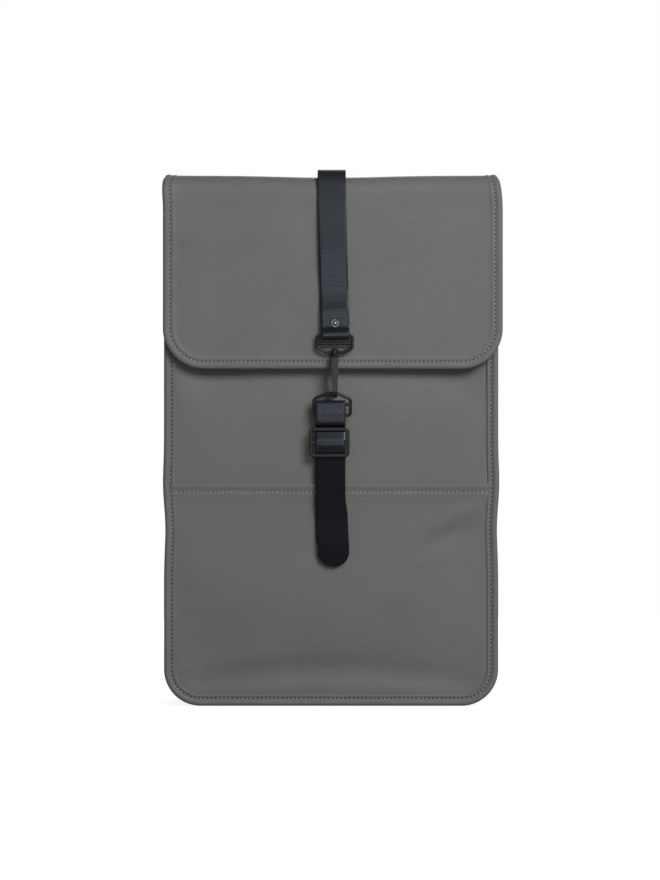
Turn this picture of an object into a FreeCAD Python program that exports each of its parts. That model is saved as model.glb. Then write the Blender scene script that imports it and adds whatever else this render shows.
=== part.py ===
import FreeCAD, Part
import math
import os

# Daypack of coated fabric: a tall flat body, a one-piece flap over its mouth, and a webbing strap that
# runs from the back over the flap to a swivel hook. The hook holds a ring on an adjusting strap that is
# riveted to the front. The back carries two padded shoulder straps.
# Frame: millimetres, +Z up, -Y towards the front, origin at the centre of the flat base.

V = FreeCAD.Vector

# ---------------------------------------------------------------- driving dimensions
# Body
bag_width = 295.0
bag_depth = 100.0
flap_top_z = 470.0
fabric = 1.6
corner_radius = 32.0
mouth_drop = 14.6
seam_z = 190.0
lap_below = 5.0
lap_above = 7.0
welt_width = 7.5
welt_thick = 2.6
gap = 0.3
split_gap = 0.8

# Inside
foam_thick = 4.0
foam_margin = 13.0
foam_top_margin = 16.0
sleeve_thick = 2.0
sleeve_room = 14.0
sleeve_side_inset = 0.9
sleeve_bottom_z = 14.0
sleeve_top_drop = 125.4

# Flap
flap_overhang = 3.5
flap_top_inset = 0.3
flap_edge_z = 297.5
flap_corner_radius = 36.0
flap_shoulder_drop = 65.0
flap_shoulder_radius = 80.0
flap_proud = 4.4
front_fold_radius = 17.2
back_fold_radius = 11.0
yoke_height = 57.0
yoke_clear = 2.0

# Webbing
strap_width = 25.0
strap_thick = 1.8
handle_rise = 3.2
handle_front_radius = 19.0
handle_back_radius = 16.0
handle_x = 0.5
handle_tail = 50.0
closure_skew = 1.5

# Swivel hook
hook_x = 3.2
eye_clear = 0.8
eye_bar_z = 326.9
eye_bar_radius = 1.4
eye_side_clearance = 1.5
eye_leg = 10.9
eye_height = 14.9
eye_foot_half = 7.4
crossbar_drop = 7.2
crossbar_radius = 1.25
eye_loop_clearance = 0.6
boss_radius = 3.5
boss_height = 3.9
shank_radius = 1.7
shank_clearance = 0.1
shank_head_radius = 2.6
shank_head = 1.5
hook_top_half = 3.4
hook_tip_half = 2.2
hook_wall = 2.0
bowl_radius = 3.6
bowl_clearance = 0.4
nose_height = 4.3
throat_z = 296.5
gate_pin_radius = 0.8
gate_pin_rise = 3.0
gate_half = 1.2
gate_thick = 2.2
gate_tip_lap = 1.8
slot_half = 2.25
spring_wire = 0.4

# Ring on the adjusting strap
ring_x = 0.9
ring_apex_z = 275.85
ring_bar_radius = 1.35
ring_side_clearance = 1.85
ring_apex_half = 4.7
ring_shoulder = 5.0
ring_height = 19.3
ring_crossbar_drop = 9.7
ring_crossbar_radius = 1.4
ring_loop_clearance = 0.35
ring_tilt_room = 0.9

# Adjusting strap, its slider and its tail
adjusting_width = 26.0
strap_x = -0.6
anchor_rivet_z = 146.0
anchor_below_rivet = 10.3
swing_above_rivet = 6.3
slider_z = 232.9
tail_hinge_z = 184.0
tail_tip_z = 123.3
tail_skew = 2.5
layer_gap = 0.1
slider_side_clearance = 1.6
slider_height = 26.4
slider_bar = 3.2
slider_thick = 2.6
slider_corner = 4.0

# Rivets
rivet_radius = 4.7
rivet_height = 1.5
rivet_post_radius = 1.5
rivet_hole_clearance = 0.1
washer_radius = 3.6
washer_thick = 0.7
strap_rivet_z = 337.7

# Shoulder straps
pad_top_x = 36.0
pad_below_yoke = 5.4
pad_width = 50.0
pad_thick = 8.0
pad_splay = 11.0
pad_arch_out = 42.0
pad_arch_drop = 108.0
pad_end_out = 25.0
pad_end_drop = 203.0
shoulder_anchor_inset = 29.5
shoulder_anchor_z = 34.0
shoulder_slider_drop = 34.0
shoulder_tail = 26.0
small_ring_height = 11.0
small_ring_corner = 3.0
tab_length = 16.0

# ---------------------------------------------------------------- derived places
half_width = bag_width / 2
front_y = -bag_depth / 2
back_y = bag_depth / 2
mouth_z = flap_top_z - mouth_drop
flap_split_front_z = flap_top_z - fabric / 2 - front_fold_radius
flap_mid_z = flap_top_z - fabric / 2
flap_front_mid_y = front_y - flap_proud - fabric / 2
flap_face_y = flap_front_mid_y - fabric / 2
flap_back_mid_y = back_y + fabric / 2
closure_mid_y = flap_face_y - gap - strap_thick / 2
handle_mid_z = flap_top_z + handle_rise + strap_thick / 2
handle_back_y = back_y + fabric + gap + strap_thick / 2
handle_rivet_z = mouth_z - handle_tail + strap_width / 2
foam_half_width = half_width - fabric - foam_margin
sleeve_half_width = foam_half_width - sleeve_side_inset
sleeve_top_z = mouth_z - sleeve_top_drop
flap_half_width = half_width + flap_overhang
flap_top_half_width = half_width - flap_top_inset
flap_shoulder_z = flap_top_z - flap_shoulder_drop
yoke_half_width = half_width - welt_width - yoke_clear
eye_y = flap_face_y - eye_clear - strap_thick - eye_loop_clearance - eye_bar_radius
apex_y = eye_y
eye_half_width = strap_width / 2 + eye_side_clearance + eye_bar_radius
widest_webbing = max(strap_width, adjusting_width)
ring_half_width = widest_webbing / 2 + ring_side_clearance + ring_bar_radius
slider_width = widest_webbing + 2 * (slider_side_clearance + slider_bar)
gate_pin_z = throat_z + gate_pin_rise
anchor_bottom_z = anchor_rivet_z - anchor_below_rivet
swing_z = anchor_rivet_z + swing_above_rivet
pad_top_z = mouth_z - yoke_height - pad_below_yoke
pad_arch_y = back_y + pad_arch_out
pad_arch_z = pad_top_z - pad_arch_drop
pad_end_y = back_y + pad_end_out
pad_end_z = pad_top_z - pad_end_drop
shoulder_anchor_x = half_width - shoulder_anchor_inset


# ---------------------------------------------------------------- planar helpers
def xz(y):
    """Maps a point (x, z) to space at a given y."""
    return lambda p: V(p[0], y, p[1])


def yz(x):
    """Maps a point (y, z) to space at a given x."""
    return lambda p: V(x, p[0], p[1])


def unit(a, b):
    length = math.hypot(b[0] - a[0], b[1] - a[1])
    return ((b[0] - a[0]) / length, (b[1] - a[1]) / length)


def turn_side(a, p, b):
    """Positive where the path a, p, b turns left."""
    return (p[0] - a[0]) * (b[1] - p[1]) - (p[1] - a[1]) * (b[0] - p[0])


def corner_arc(a, p, b, radius):
    """Start, middle and end of the arc that rounds corner p between a and b."""
    u = unit(p, a)
    w = unit(p, b)
    half = math.acos(max(-1.0, min(1.0, u[0] * w[0] + u[1] * w[1]))) / 2
    if radius <= 0 or half > math.pi / 2 - 1e-6:
        return p, p, p
    reach = radius / math.tan(half)
    start = (p[0] + u[0] * reach, p[1] + u[1] * reach)
    end = (p[0] + w[0] * reach, p[1] + w[1] * reach)
    bisector = unit((0, 0), (u[0] + w[0], u[1] + w[1]))
    to_arc = radius / math.sin(half) - radius
    middle = (p[0] + bisector[0] * to_arc, p[1] + bisector[1] * to_arc)
    return start, middle, end


def path_edges(points, radii, closed, place):
    """Straight runs joined by tangent arcs, as edges in space."""
    count = len(points)
    arcs = []
    for i, p in enumerate(points):
        if not closed and i in (0, count - 1):
            arcs.append((p, p, p))
        else:
            arcs.append(corner_arc(points[i - 1], p, points[(i + 1) % count], radii[i]))
    edges = []
    for i, (start, middle, end) in enumerate(arcs):
        if place(start).distanceToPoint(place(end)) > 1e-6:
            edges.append(Part.Arc(place(start), place(middle), place(end)).toShape())
        if i == count - 1 and not closed:
            break
        after = arcs[(i + 1) % count][0]
        if place(end).distanceToPoint(place(after)) > 1e-6:
            edges.append(Part.LineSegment(place(end), place(after)).toShape())
    return edges


def plate(points, radii, y0, y1):
    """Closed outline in X and Z, made solid from y0 to y1."""
    wire = Part.Wire(path_edges(points, radii, True, xz(y0)))
    return Part.Face(wire).extrude(V(0, y1 - y0, 0))


def slab(x0, x1, y0, y1, z0, z1):
    return Part.makeBox(x1 - x0, y1 - y0, z1 - z0, V(x0, y0, z0))


def offset_path(points, radii, distance):
    """The path moved sideways to its left, with the radii that keep its arcs concentric."""
    moved = []
    changed = []
    last = len(points) - 1
    for i, p in enumerate(points):
        before = unit(points[i - 1], p) if i else unit(p, points[1])
        after = unit(p, points[i + 1]) if i < last else before
        normal = (-before[1] - after[1], before[0] + after[0])
        length = math.hypot(*normal)
        normal = (normal[0] / length, normal[1] / length)
        scale = distance / (normal[0] * -before[1] + normal[1] * before[0])
        moved.append((p[0] + normal[0] * scale, p[1] + normal[1] * scale))
        if 0 < i < last:
            left = turn_side(points[i - 1], p, points[i + 1]) > 0
            changed.append(radii[i] - distance if left else radii[i] + distance)
        else:
            changed.append(0)
    return moved, changed


def band(points, radii, thick, x0, x1):
    """Strip of fabric or webbing along a path of (y, z) points, made solid from x0 to x1."""
    left, left_radii = offset_path(points, radii, thick / 2)
    right, right_radii = offset_path(points, radii, -thick / 2)
    place = yz(x0)
    edges = path_edges(left, left_radii, False, place)
    edges.append(Part.LineSegment(place(left[-1]), place(right[-1])).toShape())
    edges += path_edges(right[::-1], right_radii[::-1], False, place)
    edges.append(Part.LineSegment(place(right[0]), place(left[0])).toShape())
    return Part.Face(Part.Wire(edges)).extrude(V(x1 - x0, 0, 0))


def round_frame(points, radii, bar_radius, y):
    """Closed frame of round bar along an outline in X and Z."""
    path = Part.Wire(path_edges(points, radii, True, xz(y)))
    start = path.Edges[-1].LastParameter
    origin = path.Edges[-1].valueAt(start)
    along = path.Edges[-1].tangentAt(start)
    section = Part.Wire(Part.makeCircle(bar_radius, origin, along))
    return path.makePipeShell([section], True, False)


def bar_x(x0, x1, y, z, radius):
    return Part.makeCylinder(radius, x1 - x0, V(x0, y, z), V(1, 0, 0))


def pin_y(x, y0, y1, z, radius):
    return Part.makeCylinder(radius, y1 - y0, V(x, y0, z), V(0, 1, 0))


def round_end(x, half, z_tip, z_far, y0, y1):
    """Flat strap end with straight sides and a full round tip that points down."""
    points = [(x - half, z_far), (x - half, z_tip), (x + half, z_tip), (x + half, z_far)]
    return plate(points, [0, half, half, 0], y0, y1)


def export(name, shape):
    shape.exportStep("parts/" + name + ".step")


# ---------------------------------------------------------------- body of the bag
def body_outline(half, bottom, top, radius):
    points = [(-half, top), (-half, bottom), (half, bottom), (half, top)]
    return points, [0, radius, radius, 0]


def front_panels():
    """Upper and lower front panels. The lower one's folded top laps over the upper one."""
    y0 = front_y
    y1 = front_y + fabric
    upper = slab(-half_width, half_width, y0, y1, seam_z, mouth_z)
    points, radii = body_outline(half_width, 0, seam_z, corner_radius)
    lower = plate(points, radii, y0, y1)
    lap_half = half_width - welt_width - gap
    lap = slab(-lap_half, lap_half, y0 - fabric, y0, seam_z - lap_below, seam_z + lap_above)
    lower = lower.fuse(lap).removeSplitter()
    hole = rivet_post_radius + rivet_hole_clearance
    lower = lower.cut(pin_y(strap_x, y0 - fabric, y1 + gap, anchor_rivet_z, hole))
    export("front_upper_panel", upper)
    export("front_lower_panel", lower)


def welt(y0, y1):
    """Rolled seam edge that follows the panel's sides and bottom."""
    points, radii = body_outline(half_width, 0, mouth_z, corner_radius)
    inner_radius = corner_radius - welt_width
    inside, inside_radii = body_outline(half_width - welt_width, welt_width, mouth_z + 1, inner_radius)
    return plate(points, radii, y0, y1).cut(plate(inside, inside_radii, y0 - 1, y1 + 1))


def gussets_and_base():
    """Side strips and the base strip that turns up at both lower corners."""
    y0 = front_y + fabric
    y1 = back_y - fabric
    export("left_gusset", slab(-half_width, -half_width + fabric, y0, y1, corner_radius, mouth_z))
    export("right_gusset", slab(half_width - fabric, half_width, y0, y1, corner_radius, mouth_z))
    outer, outer_radii = body_outline(half_width, 0, corner_radius, corner_radius)
    inner, inner_radii = body_outline(half_width - fabric, fabric, corner_radius, corner_radius - fabric)
    export("base_panel", plate(outer, outer_radii, y0, y1).cut(plate(inner, inner_radii, y0 - 1, y1 + 1)))


def back_and_inside():
    """Back panel, its foam, and the laptop sleeve that stands off the foam."""
    points, radii = body_outline(half_width, 0, mouth_z, corner_radius)
    export("back_panel", plate(points, radii, back_y - fabric, back_y))
    foam_y1 = back_y - fabric
    foam_y0 = foam_y1 - foam_thick
    foam = slab(-foam_half_width, foam_half_width, foam_y0, foam_y1, foam_margin, mouth_z - foam_top_margin)
    export("back_foam", foam)
    sleeve_y0 = foam_y0 - sleeve_room - sleeve_thick
    sleeve = slab(-sleeve_half_width, sleeve_half_width, sleeve_y0, foam_y0, sleeve_bottom_z, sleeve_top_z)
    room_half = sleeve_half_width - sleeve_thick
    room = slab(-room_half, room_half, sleeve_y0 + sleeve_thick, foam_y0 + 1,
                sleeve_bottom_z + sleeve_thick, sleeve_top_z + 1)
    export("laptop_sleeve", sleeve.cut(room))


def flap():
    """Flap in two parts, split at the front fold, and the yoke that it is sewn to the back with."""
    yoke = slab(-yoke_half_width, yoke_half_width, back_y, back_y + fabric, mouth_z - yoke_height, mouth_z)
    hole = rivet_post_radius + rivet_hole_clearance
    yoke = yoke.cut(pin_y(handle_x, back_y - 1, back_y + fabric + 1, handle_rivet_z, hole))
    export("flap_yoke", yoke)
    path = [
        (flap_back_mid_y, mouth_z + split_gap),
        (flap_back_mid_y, flap_mid_z),
        (flap_front_mid_y, flap_mid_z),
        (flap_front_mid_y, flap_split_front_z),
    ]
    top_half = flap_top_half_width
    radii = [0, back_fold_radius, front_fold_radius, 0]
    export("flap_top_panel", band(path, radii, fabric, -top_half, top_half))
    half = flap_half_width
    outline = [
        (-top_half, flap_split_front_z - split_gap),
        (-half, flap_shoulder_z),
        (-half, flap_edge_z),
        (half, flap_edge_z),
        (half, flap_shoulder_z),
        (top_half, flap_split_front_z - split_gap),
    ]
    radii = [0, flap_shoulder_radius, flap_corner_radius, flap_corner_radius, flap_shoulder_radius, 0]
    export("flap_front_panel", plate(outline, radii, flap_face_y, flap_face_y + fabric))


# ---------------------------------------------------------------- rivets
def rivet(x, y_face, y_end, z):
    """Cap with a raised centre and a ring of pits, on a post that runs back to y_end."""
    profile = [
        V(0, 0, 0),
        V(rivet_radius, 0, 0),
        V(rivet_radius, 0, 0.45 * rivet_height),
        V(0.86 * rivet_radius, 0, 0.8 * rivet_height),
        V(0.42 * rivet_radius, 0, 0.8 * rivet_height),
        V(0.26 * rivet_radius, 0, rivet_height),
        V(0, 0, rivet_height),
        V(0, 0, 0),
    ]
    cap = Part.Face(Part.makePolygon(profile)).revolve(V(0, 0, 0), V(0, 0, 1), 360)
    pits = 12
    for i in range(pits):
        angle = 2 * math.pi * i / pits
        reach = 0.66 * rivet_radius
        centre = V(reach * math.cos(angle), reach * math.sin(angle), 0.6 * rivet_height)
        cap = cap.cut(Part.makeCylinder(0.1 * rivet_radius, rivet_height, centre))
    cap.rotate(V(0, 0, 0), V(1, 0, 0), 90)
    cap.translate(V(x, y_face, z))
    return cap.fuse(pin_y(x, y_face, y_end, z, rivet_post_radius))


def washer(x, y0, z):
    disc = pin_y(x, y0, y0 + washer_thick, z, washer_radius)
    return disc.cut(pin_y(x, y0 - 1, y0 + washer_thick + 1, z, rivet_post_radius + rivet_hole_clearance))


# ---------------------------------------------------------------- strap from the back over the flap
def handle_and_closure_strap():
    x0 = handle_x - strap_width / 2
    x1 = handle_x + strap_width / 2
    hole = rivet_post_radius + rivet_hole_clearance

    # Tail on the back, riveted through the yoke and the back panel
    y0 = handle_back_y - strap_thick / 2
    y1 = handle_back_y + strap_thick / 2
    tail = round_end(handle_x, strap_width / 2, mouth_z - handle_tail, mouth_z, y0, y1)
    tail = tail.cut(pin_y(handle_x, y0 - 1, y1 + 1, handle_rivet_z, hole))
    export("handle_tail", tail)
    stud = rivet(0, 0, y1 - back_y, 0)
    stud.rotate(V(0, 0, 0), V(0, 0, 1), 180)
    stud.translate(V(handle_x, y1, handle_rivet_z))
    export("handle_rivet", stud)

    # Raised run over the flap, which is the carry handle
    path = [
        (handle_back_y, mouth_z + split_gap),
        (handle_back_y, handle_mid_z),
        (closure_mid_y, handle_mid_z),
        (closure_mid_y, flap_split_front_z + split_gap),
    ]
    export("carry_handle", band(path, [0, handle_back_radius, handle_front_radius, 0], strap_thick, x0, x1))

    # Run down the flap, doubled back round the eye's top bar and riveted to itself
    loop = eye_bar_radius + eye_loop_clearance + strap_thick / 2
    front = eye_y - loop
    rear = eye_y + loop
    fold_z = eye_bar_z - loop
    rear_layer = flap_face_y - washer_thick - 2 * gap - strap_thick / 2
    front_layer = rear_layer - strap_thick - 2 * layer_gap
    path = [
        (closure_mid_y, flap_split_front_z - split_gap),
        (closure_mid_y, strap_rivet_z + 29),
        (front_layer, strap_rivet_z + 11),
        (front_layer, strap_rivet_z - 3.6),
        (front, eye_bar_z + 1.9),
        (front, fold_z),
        (rear, fold_z),
        (rear, eye_bar_z + 1.5),
        (rear_layer, strap_rivet_z - 4.6),
        (rear_layer, strap_rivet_z + 9),
    ]
    radii = [0, 40, 40, 3, 2, loop, loop, 2.5, 5, 0]
    strap = band(path, radii, strap_thick, x0, x1)
    strap = strap.cut(pin_y(handle_x, front_layer - 3, rear_layer + 3, strap_rivet_z, hole))
    cap_y = front_layer - strap_thick / 2
    strap = strap.cut(pin_y(handle_x, cap_y - 3, cap_y, strap_rivet_z, rivet_radius + rivet_hole_clearance))
    washer_y = rear_layer + strap_thick / 2
    stud = rivet(handle_x, cap_y, washer_y + washer_thick, strap_rivet_z)
    ring = washer(handle_x, washer_y, strap_rivet_z)
    pivot = V(handle_x, 0, flap_split_front_z)
    for name, shape in (("closure_strap", strap), ("strap_rivet", stud), ("rivet_washer", ring)):
        shape.rotate(pivot, V(0, 1, 0), -closure_skew)
        export(name, shape)


# ---------------------------------------------------------------- swivel hook
def hook_eye():
    """Cast eye: a frame of round bar with a crossbar, and a boss that the hook's shank turns in."""
    foot_z = eye_bar_z - eye_height
    outline = [
        (hook_x - eye_half_width, eye_bar_z),
        (hook_x - eye_half_width, eye_bar_z - eye_leg),
        (hook_x - eye_foot_half, foot_z),
        (hook_x + eye_foot_half, foot_z),
        (hook_x + eye_half_width, eye_bar_z - eye_leg),
        (hook_x + eye_half_width, eye_bar_z),
    ]
    frame = round_frame(outline, [1.8, 2.2, 2.2, 2.2, 2.2, 1.8], eye_bar_radius, eye_y)
    left = hook_x - eye_half_width
    right = hook_x + eye_half_width
    frame = frame.fuse(bar_x(left, right, eye_y, eye_bar_z - crossbar_drop, crossbar_radius))
    boss_z = foot_z - boss_height / 2
    boss = Part.makeCylinder(boss_radius, boss_height, V(hook_x, eye_y, boss_z))
    boss = boss.makeFillet(0.5, [e for e in boss.Edges if e.Curve.TypeId == "Part::GeomCircle"])
    bore = shank_radius + shank_clearance
    frame = frame.fuse(boss).cut(Part.makeCylinder(bore, boss_height + 2, V(hook_x, eye_y, boss_z - 1)))
    export("hook_eye", frame)
    return boss_z


def hook(boss_z):
    """J-shaped hook on a riveted shank, with its gate, the gate's pin and its spring."""
    mid = bowl_radius + hook_wall / 2
    bowl_z = ring_apex_z + bowl_radius - ring_bar_radius - bowl_clearance
    shoulder_z = boss_z - gap
    x0 = hook_x - hook_top_half
    x1 = hook_x + hook_top_half
    path = [
        (apex_y - mid, throat_z + 4),
        (apex_y - mid, bowl_z - mid),
        (apex_y + mid, bowl_z - mid),
        (apex_y + mid, bowl_z + nose_height),
    ]
    body = band(path, [0, mid, mid, 0], hook_wall, x0, x1)
    front = apex_y - mid - hook_wall / 2
    gate_y = apex_y + 0.7
    rear = gate_y + 2.3
    block = slab(x0, x1, front, rear, throat_z, shoulder_z - 1)
    long_edges = [e for e in block.Edges if abs(e.tangentAt(0).x) > 0.99]
    body = body.fuse(block.makeFillet(2.0, long_edges))
    taper = [
        (hook_x - hook_top_half, shoulder_z),
        (hook_x - hook_tip_half, bowl_z - mid - hook_wall),
        (hook_x + hook_tip_half, bowl_z - mid - hook_wall),
        (hook_x + hook_top_half, shoulder_z),
    ]
    body = body.common(plate(taper, [0, 0, 0, 0], front - 1, rear + 9)).removeSplitter()
    body = body.fuse(Part.makeCylinder(hook_top_half, 2.5, V(hook_x, eye_y, shoulder_z - 2.5)))
    shank_length = boss_height + 3 * gap + 0.5
    body = body.fuse(Part.makeCylinder(shank_radius, shank_length, V(hook_x, eye_y, shoulder_z - 0.5)))
    head_z = boss_z + boss_height + gap
    head = Part.makeCylinder(shank_head_radius, shank_head, V(hook_x, eye_y, head_z))
    head = head.makeFillet(0.6, [e for e in head.Edges if e.CenterOfMass.z > head_z + shank_head - 0.1])
    body = body.fuse(head)
    slot_inner = gate_y - 2.3
    slot = slab(hook_x - slot_half, hook_x + slot_half, slot_inner, rear + 1, throat_z - 1, gate_pin_z + 2.5)
    pin_hole = gate_pin_radius + gap / 6
    body = body.cut(slot).cut(bar_x(x0 - 1, x1 + 1, gate_y, gate_pin_z, pin_hole))
    export("hook_body", body)

    pin_half = slot_half + 0.75
    export("gate_pin", bar_x(hook_x - pin_half, hook_x + pin_half, gate_y, gate_pin_z, gate_pin_radius))

    # Gate: a knuckle round the pin and a lever down to the inside of the nose
    tip_y = apex_y + bowl_radius - gap - gate_thick / 2
    tip_z = bowl_z + nose_height - gate_tip_lap
    lever_path = [(gate_y, gate_pin_z), (tip_y, tip_z)]
    lever = band(lever_path, [0, 0], gate_thick, hook_x - gate_half, hook_x + gate_half)
    knuckle = bar_x(hook_x - gate_half, hook_x + gate_half, gate_y, gate_pin_z, 1.9)
    gate = knuckle.fuse(lever).removeSplitter()
    gate = gate.cut(bar_x(x0, x1, gate_y, gate_pin_z, pin_hole))
    export("hook_gate", gate)

    # Torsion spring: two turns round the pin, beside the knuckle
    coil_radius = pin_hole + spring_wire / 2 + 0.15
    pitch = spring_wire + 0.05
    coil = Part.makeHelix(pitch, pitch * 1.2, coil_radius)
    section = Part.Wire(Part.makeCircle(spring_wire / 2, V(coil_radius, 0, 0), V(0, 1, 0)))
    spring = Part.Wire(coil).makePipeShell([section], True, True)
    spring.rotate(V(0, 0, 0), V(0, 1, 0), 90)
    spring.translate(V(hook_x + gate_half + spring_wire / 2 + 0.05, gate_y, gate_pin_z))
    export("gate_spring", spring)


# ---------------------------------------------------------------- straps through a slider, in a local frame
# Local frame: width along X, the strap's own height along Z from its anchor, and -Y away from the bag.
# The rear layer is centred on y = 0 and the front layer lies layer_gap in front of it.
front_mid = -(strap_thick + layer_gap)


def slider_shape(z):
    """Flat frame with a centre bar, lying just in front of both layers."""
    y1 = front_mid - strap_thick / 2 - gap
    y0 = y1 - slider_thick
    half = slider_width / 2
    tall = slider_height / 2
    outline = [(-half, z - tall), (half, z - tall), (half, z + tall), (-half, z + tall)]
    frame = plate(outline, [slider_corner] * 4, y0, y1)
    half -= slider_bar
    tall -= slider_bar
    outline = [(-half, z - tall), (half, z - tall), (half, z + tall), (-half, z + tall)]
    inner = max(slider_corner - slider_bar, 0.8)
    frame = frame.cut(plate(outline, [inner] * 4, y0 - 1, y1 + 1))
    rim = [e for e in frame.Edges if abs(e.CenterOfMass.y - y0) < 1e-3 or abs(e.CenterOfMass.y - y1) < 1e-3]
    frame = frame.makeFillet(0.9, rim)
    half += slider_bar / 2
    bar = slab(-half, half, y0, y1, z - slider_bar / 2, z + slider_bar / 2)
    bar = bar.makeFillet(0.9, [e for e in bar.Edges if abs(e.tangentAt(0).x) > 0.99])
    return frame.fuse(bar).removeSplitter()


def crossover_shape(z, width):
    """The webbing where it rises over the slider's centre bar."""
    low = front_mid - strap_thick - gap
    bar_face = front_mid - strap_thick / 2 - gap - slider_thick
    high = bar_face - gap - strap_thick / 2
    reach = slider_height / 2 - slider_bar - 3 * gap
    crest = slider_bar / 2 + 1.2
    path = [(low, z - reach), (high, z - crest), (high, z + crest), (low, z + reach)]
    return band(path, [0, 2.6, 2.6, 0], strap_thick, -width / 2, width / 2)


def looped_strap(width, bottom, top, bar_radius, clearance, front_end, slider_top, lowest_bar):
    """Webbing from an anchor up round a bar centred at height top, and back down to front_end.

    The front layer stays off the rear one down to the ring's lowest bar. Where that bar hangs below
    the bar the strap goes round, the front layer stands off further, so that the ring can tilt.
    """
    loop = bar_radius + clearance + strap_thick / 2
    bulge = -2 * loop - (ring_tilt_room if lowest_bar < top else 0)
    path = [
        (0, bottom),
        (0, top + loop),
        (-2 * loop, top + loop),
        (bulge, min(top - 1, lowest_bar + 2)),
        (bulge, lowest_bar - 2),
        (front_mid, slider_top + 1.6),
        (front_mid, front_end),
    ]
    return band(path, [0, loop, loop, 5, 5, 5, 0], strap_thick, -width / 2, width / 2), loop


def front_frame():
    """Lean of the adjusting strap, so that its ring's apex lies in the hook's bowl, and its swing axis."""
    loop = ring_crossbar_radius + ring_loop_clearance + strap_thick / 2
    swing_y = front_y - gap - strap_thick / 2
    rise = ring_apex_z - swing_z
    lean = math.asin((swing_y - loop - apex_y) / rise)
    return swing_y, lean, rise / math.cos(lean) + loop * math.tan(lean)


def lean_out(shape, swing_y, lean, x):
    shape.rotate(V(0, 0, 0), V(1, 0, 0), math.degrees(lean))
    shape.translate(V(x, swing_y, swing_z))
    return shape


def adjusting_strap():
    swing_y, lean, apex_height = front_frame()
    hole = rivet_post_radius + rivet_hole_clearance
    half = adjusting_width / 2

    # Anchored end, riveted to the lower front panel
    anchor = round_end(strap_x, half, anchor_bottom_z, swing_z - gap, front_y - strap_thick, front_y)
    anchor = anchor.cut(pin_y(strap_x, front_y - strap_thick - 1, front_y + 1, anchor_rivet_z, hole))
    export("strap_anchor", anchor)
    washer_y = front_y + fabric
    export("anchor_rivet", rivet(strap_x, front_y - strap_thick, washer_y + washer_thick, anchor_rivet_z))
    export("anchor_washer", washer(strap_x, washer_y, anchor_rivet_z))

    # Strap up to the ring's crossbar and back down through the slider
    crossbar_height = apex_height - ring_crossbar_drop
    slider_height_up = (slider_z - swing_z) / math.cos(lean)
    tail_start = (tail_hinge_z - swing_z) / math.cos(lean)
    slider_top = slider_height_up + slider_height / 2
    strap, loop = looped_strap(adjusting_width, gap, crossbar_height, ring_crossbar_radius,
                               ring_loop_clearance, tail_start + gap, slider_top, apex_height - ring_height)
    export("adjusting_strap", lean_out(strap, swing_y, lean, strap_x))

    # Trapezoid ring with a crossbar that the strap goes round
    top = apex_height
    side = ring_half_width
    outline = [
        (-side, top - ring_height),
        (-side, top - ring_shoulder),
        (-ring_apex_half, top),
        (ring_apex_half, top),
        (side, top - ring_shoulder),
        (side, top - ring_height),
    ]
    ring = round_frame(outline, [2.2, 3.5, 2.2, 2.2, 3.5, 2.2], ring_bar_radius, -loop)
    ring = ring.fuse(bar_x(-side, side, -loop, crossbar_height, ring_crossbar_radius))
    export("closure_ring", lean_out(ring, swing_y, lean, ring_x))

    export("strap_slider", lean_out(slider_shape(slider_height_up), swing_y, lean, strap_x - 1.0))
    crossover = crossover_shape(slider_height_up, adjusting_width)
    export("slider_crossover", lean_out(crossover, swing_y, lean, strap_x))

    # Free tail: it follows the strap past the slider's travel, then stands off over the rivet
    tip = (tail_tip_z - swing_z) / math.cos(lean)
    clear = front_mid - 2.3
    path = [(front_mid, tail_start - gap), (front_mid, 12), (clear, -8), (clear - 0.3, tip)]
    tail = band(path, [0, 30, 30, 0], strap_thick, -half, half)
    tail = tail.common(round_end(0, half, tip, tail_start, clear - 5, 5))
    tail.rotate(V(0, 0, tail_start), V(0, 1, 0), -tail_skew)
    export("strap_tail", lean_out(tail, swing_y, lean, strap_x))


# ---------------------------------------------------------------- shoulder straps
def shoulder_frame(side):
    """Anchor, lean and splay of the webbing, so that it meets the ring at the pad's end."""
    drop = pad_top_z - pad_end_z
    end_x = pad_top_x + drop * math.tan(math.radians(pad_splay))
    ring_z = pad_end_z - tab_length
    anchor = V(side * shoulder_anchor_x, back_y + strap_thick / 2 + fabric + gap, shoulder_anchor_z)
    target = V(side * (end_x + tab_length * math.tan(math.radians(pad_splay))), pad_end_y - 3, ring_z)
    span = target - anchor
    lean = math.asin(span.y / span.Length)
    splay = math.atan2(side * span.x, span.z)
    return anchor, span.Length, lean, splay


def to_shoulder(shape, side):
    anchor, _, lean, splay = shoulder_frame(side)
    shape.rotate(V(0, 0, 0), V(0, 0, 1), 180)
    shape.rotate(V(0, 0, 0), V(1, 0, 0), -math.degrees(lean))
    shape.rotate(V(0, 0, 0), V(0, 1, 0), side * math.degrees(splay))
    shape.translate(anchor)
    return shape


def pad(side):
    """Padded strap: it leaves the yoke flat, arches out and comes back towards the bag."""
    path = [
        (back_y + gap + pad_thick / 2, pad_top_z),
        (back_y + gap + pad_thick / 2 + 2.5, pad_top_z - 18),
        (pad_arch_y, pad_arch_z),
        (pad_end_y, pad_end_z),
    ]
    half = pad_width / 2
    shape = band(path, [0, 60, 150, 0], pad_thick, -half, half)
    taper = [
        (-half, pad_top_z + 5),
        (-half, pad_end_z + 60),
        (-strap_width / 2 - 3, pad_end_z - 5),
        (strap_width / 2 + 3, pad_end_z - 5),
        (half, pad_end_z + 60),
        (half, pad_top_z + 5),
    ]
    shape = shape.common(plate(taper, [0, 90, 0, 0, 90, 0], 0, 2 * bag_depth))
    shape.rotate(V(0, 0, pad_top_z), V(0, 1, 0), -side * pad_splay)
    shape.translate(V(side * pad_top_x, 0, 0))
    return shape


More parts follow.
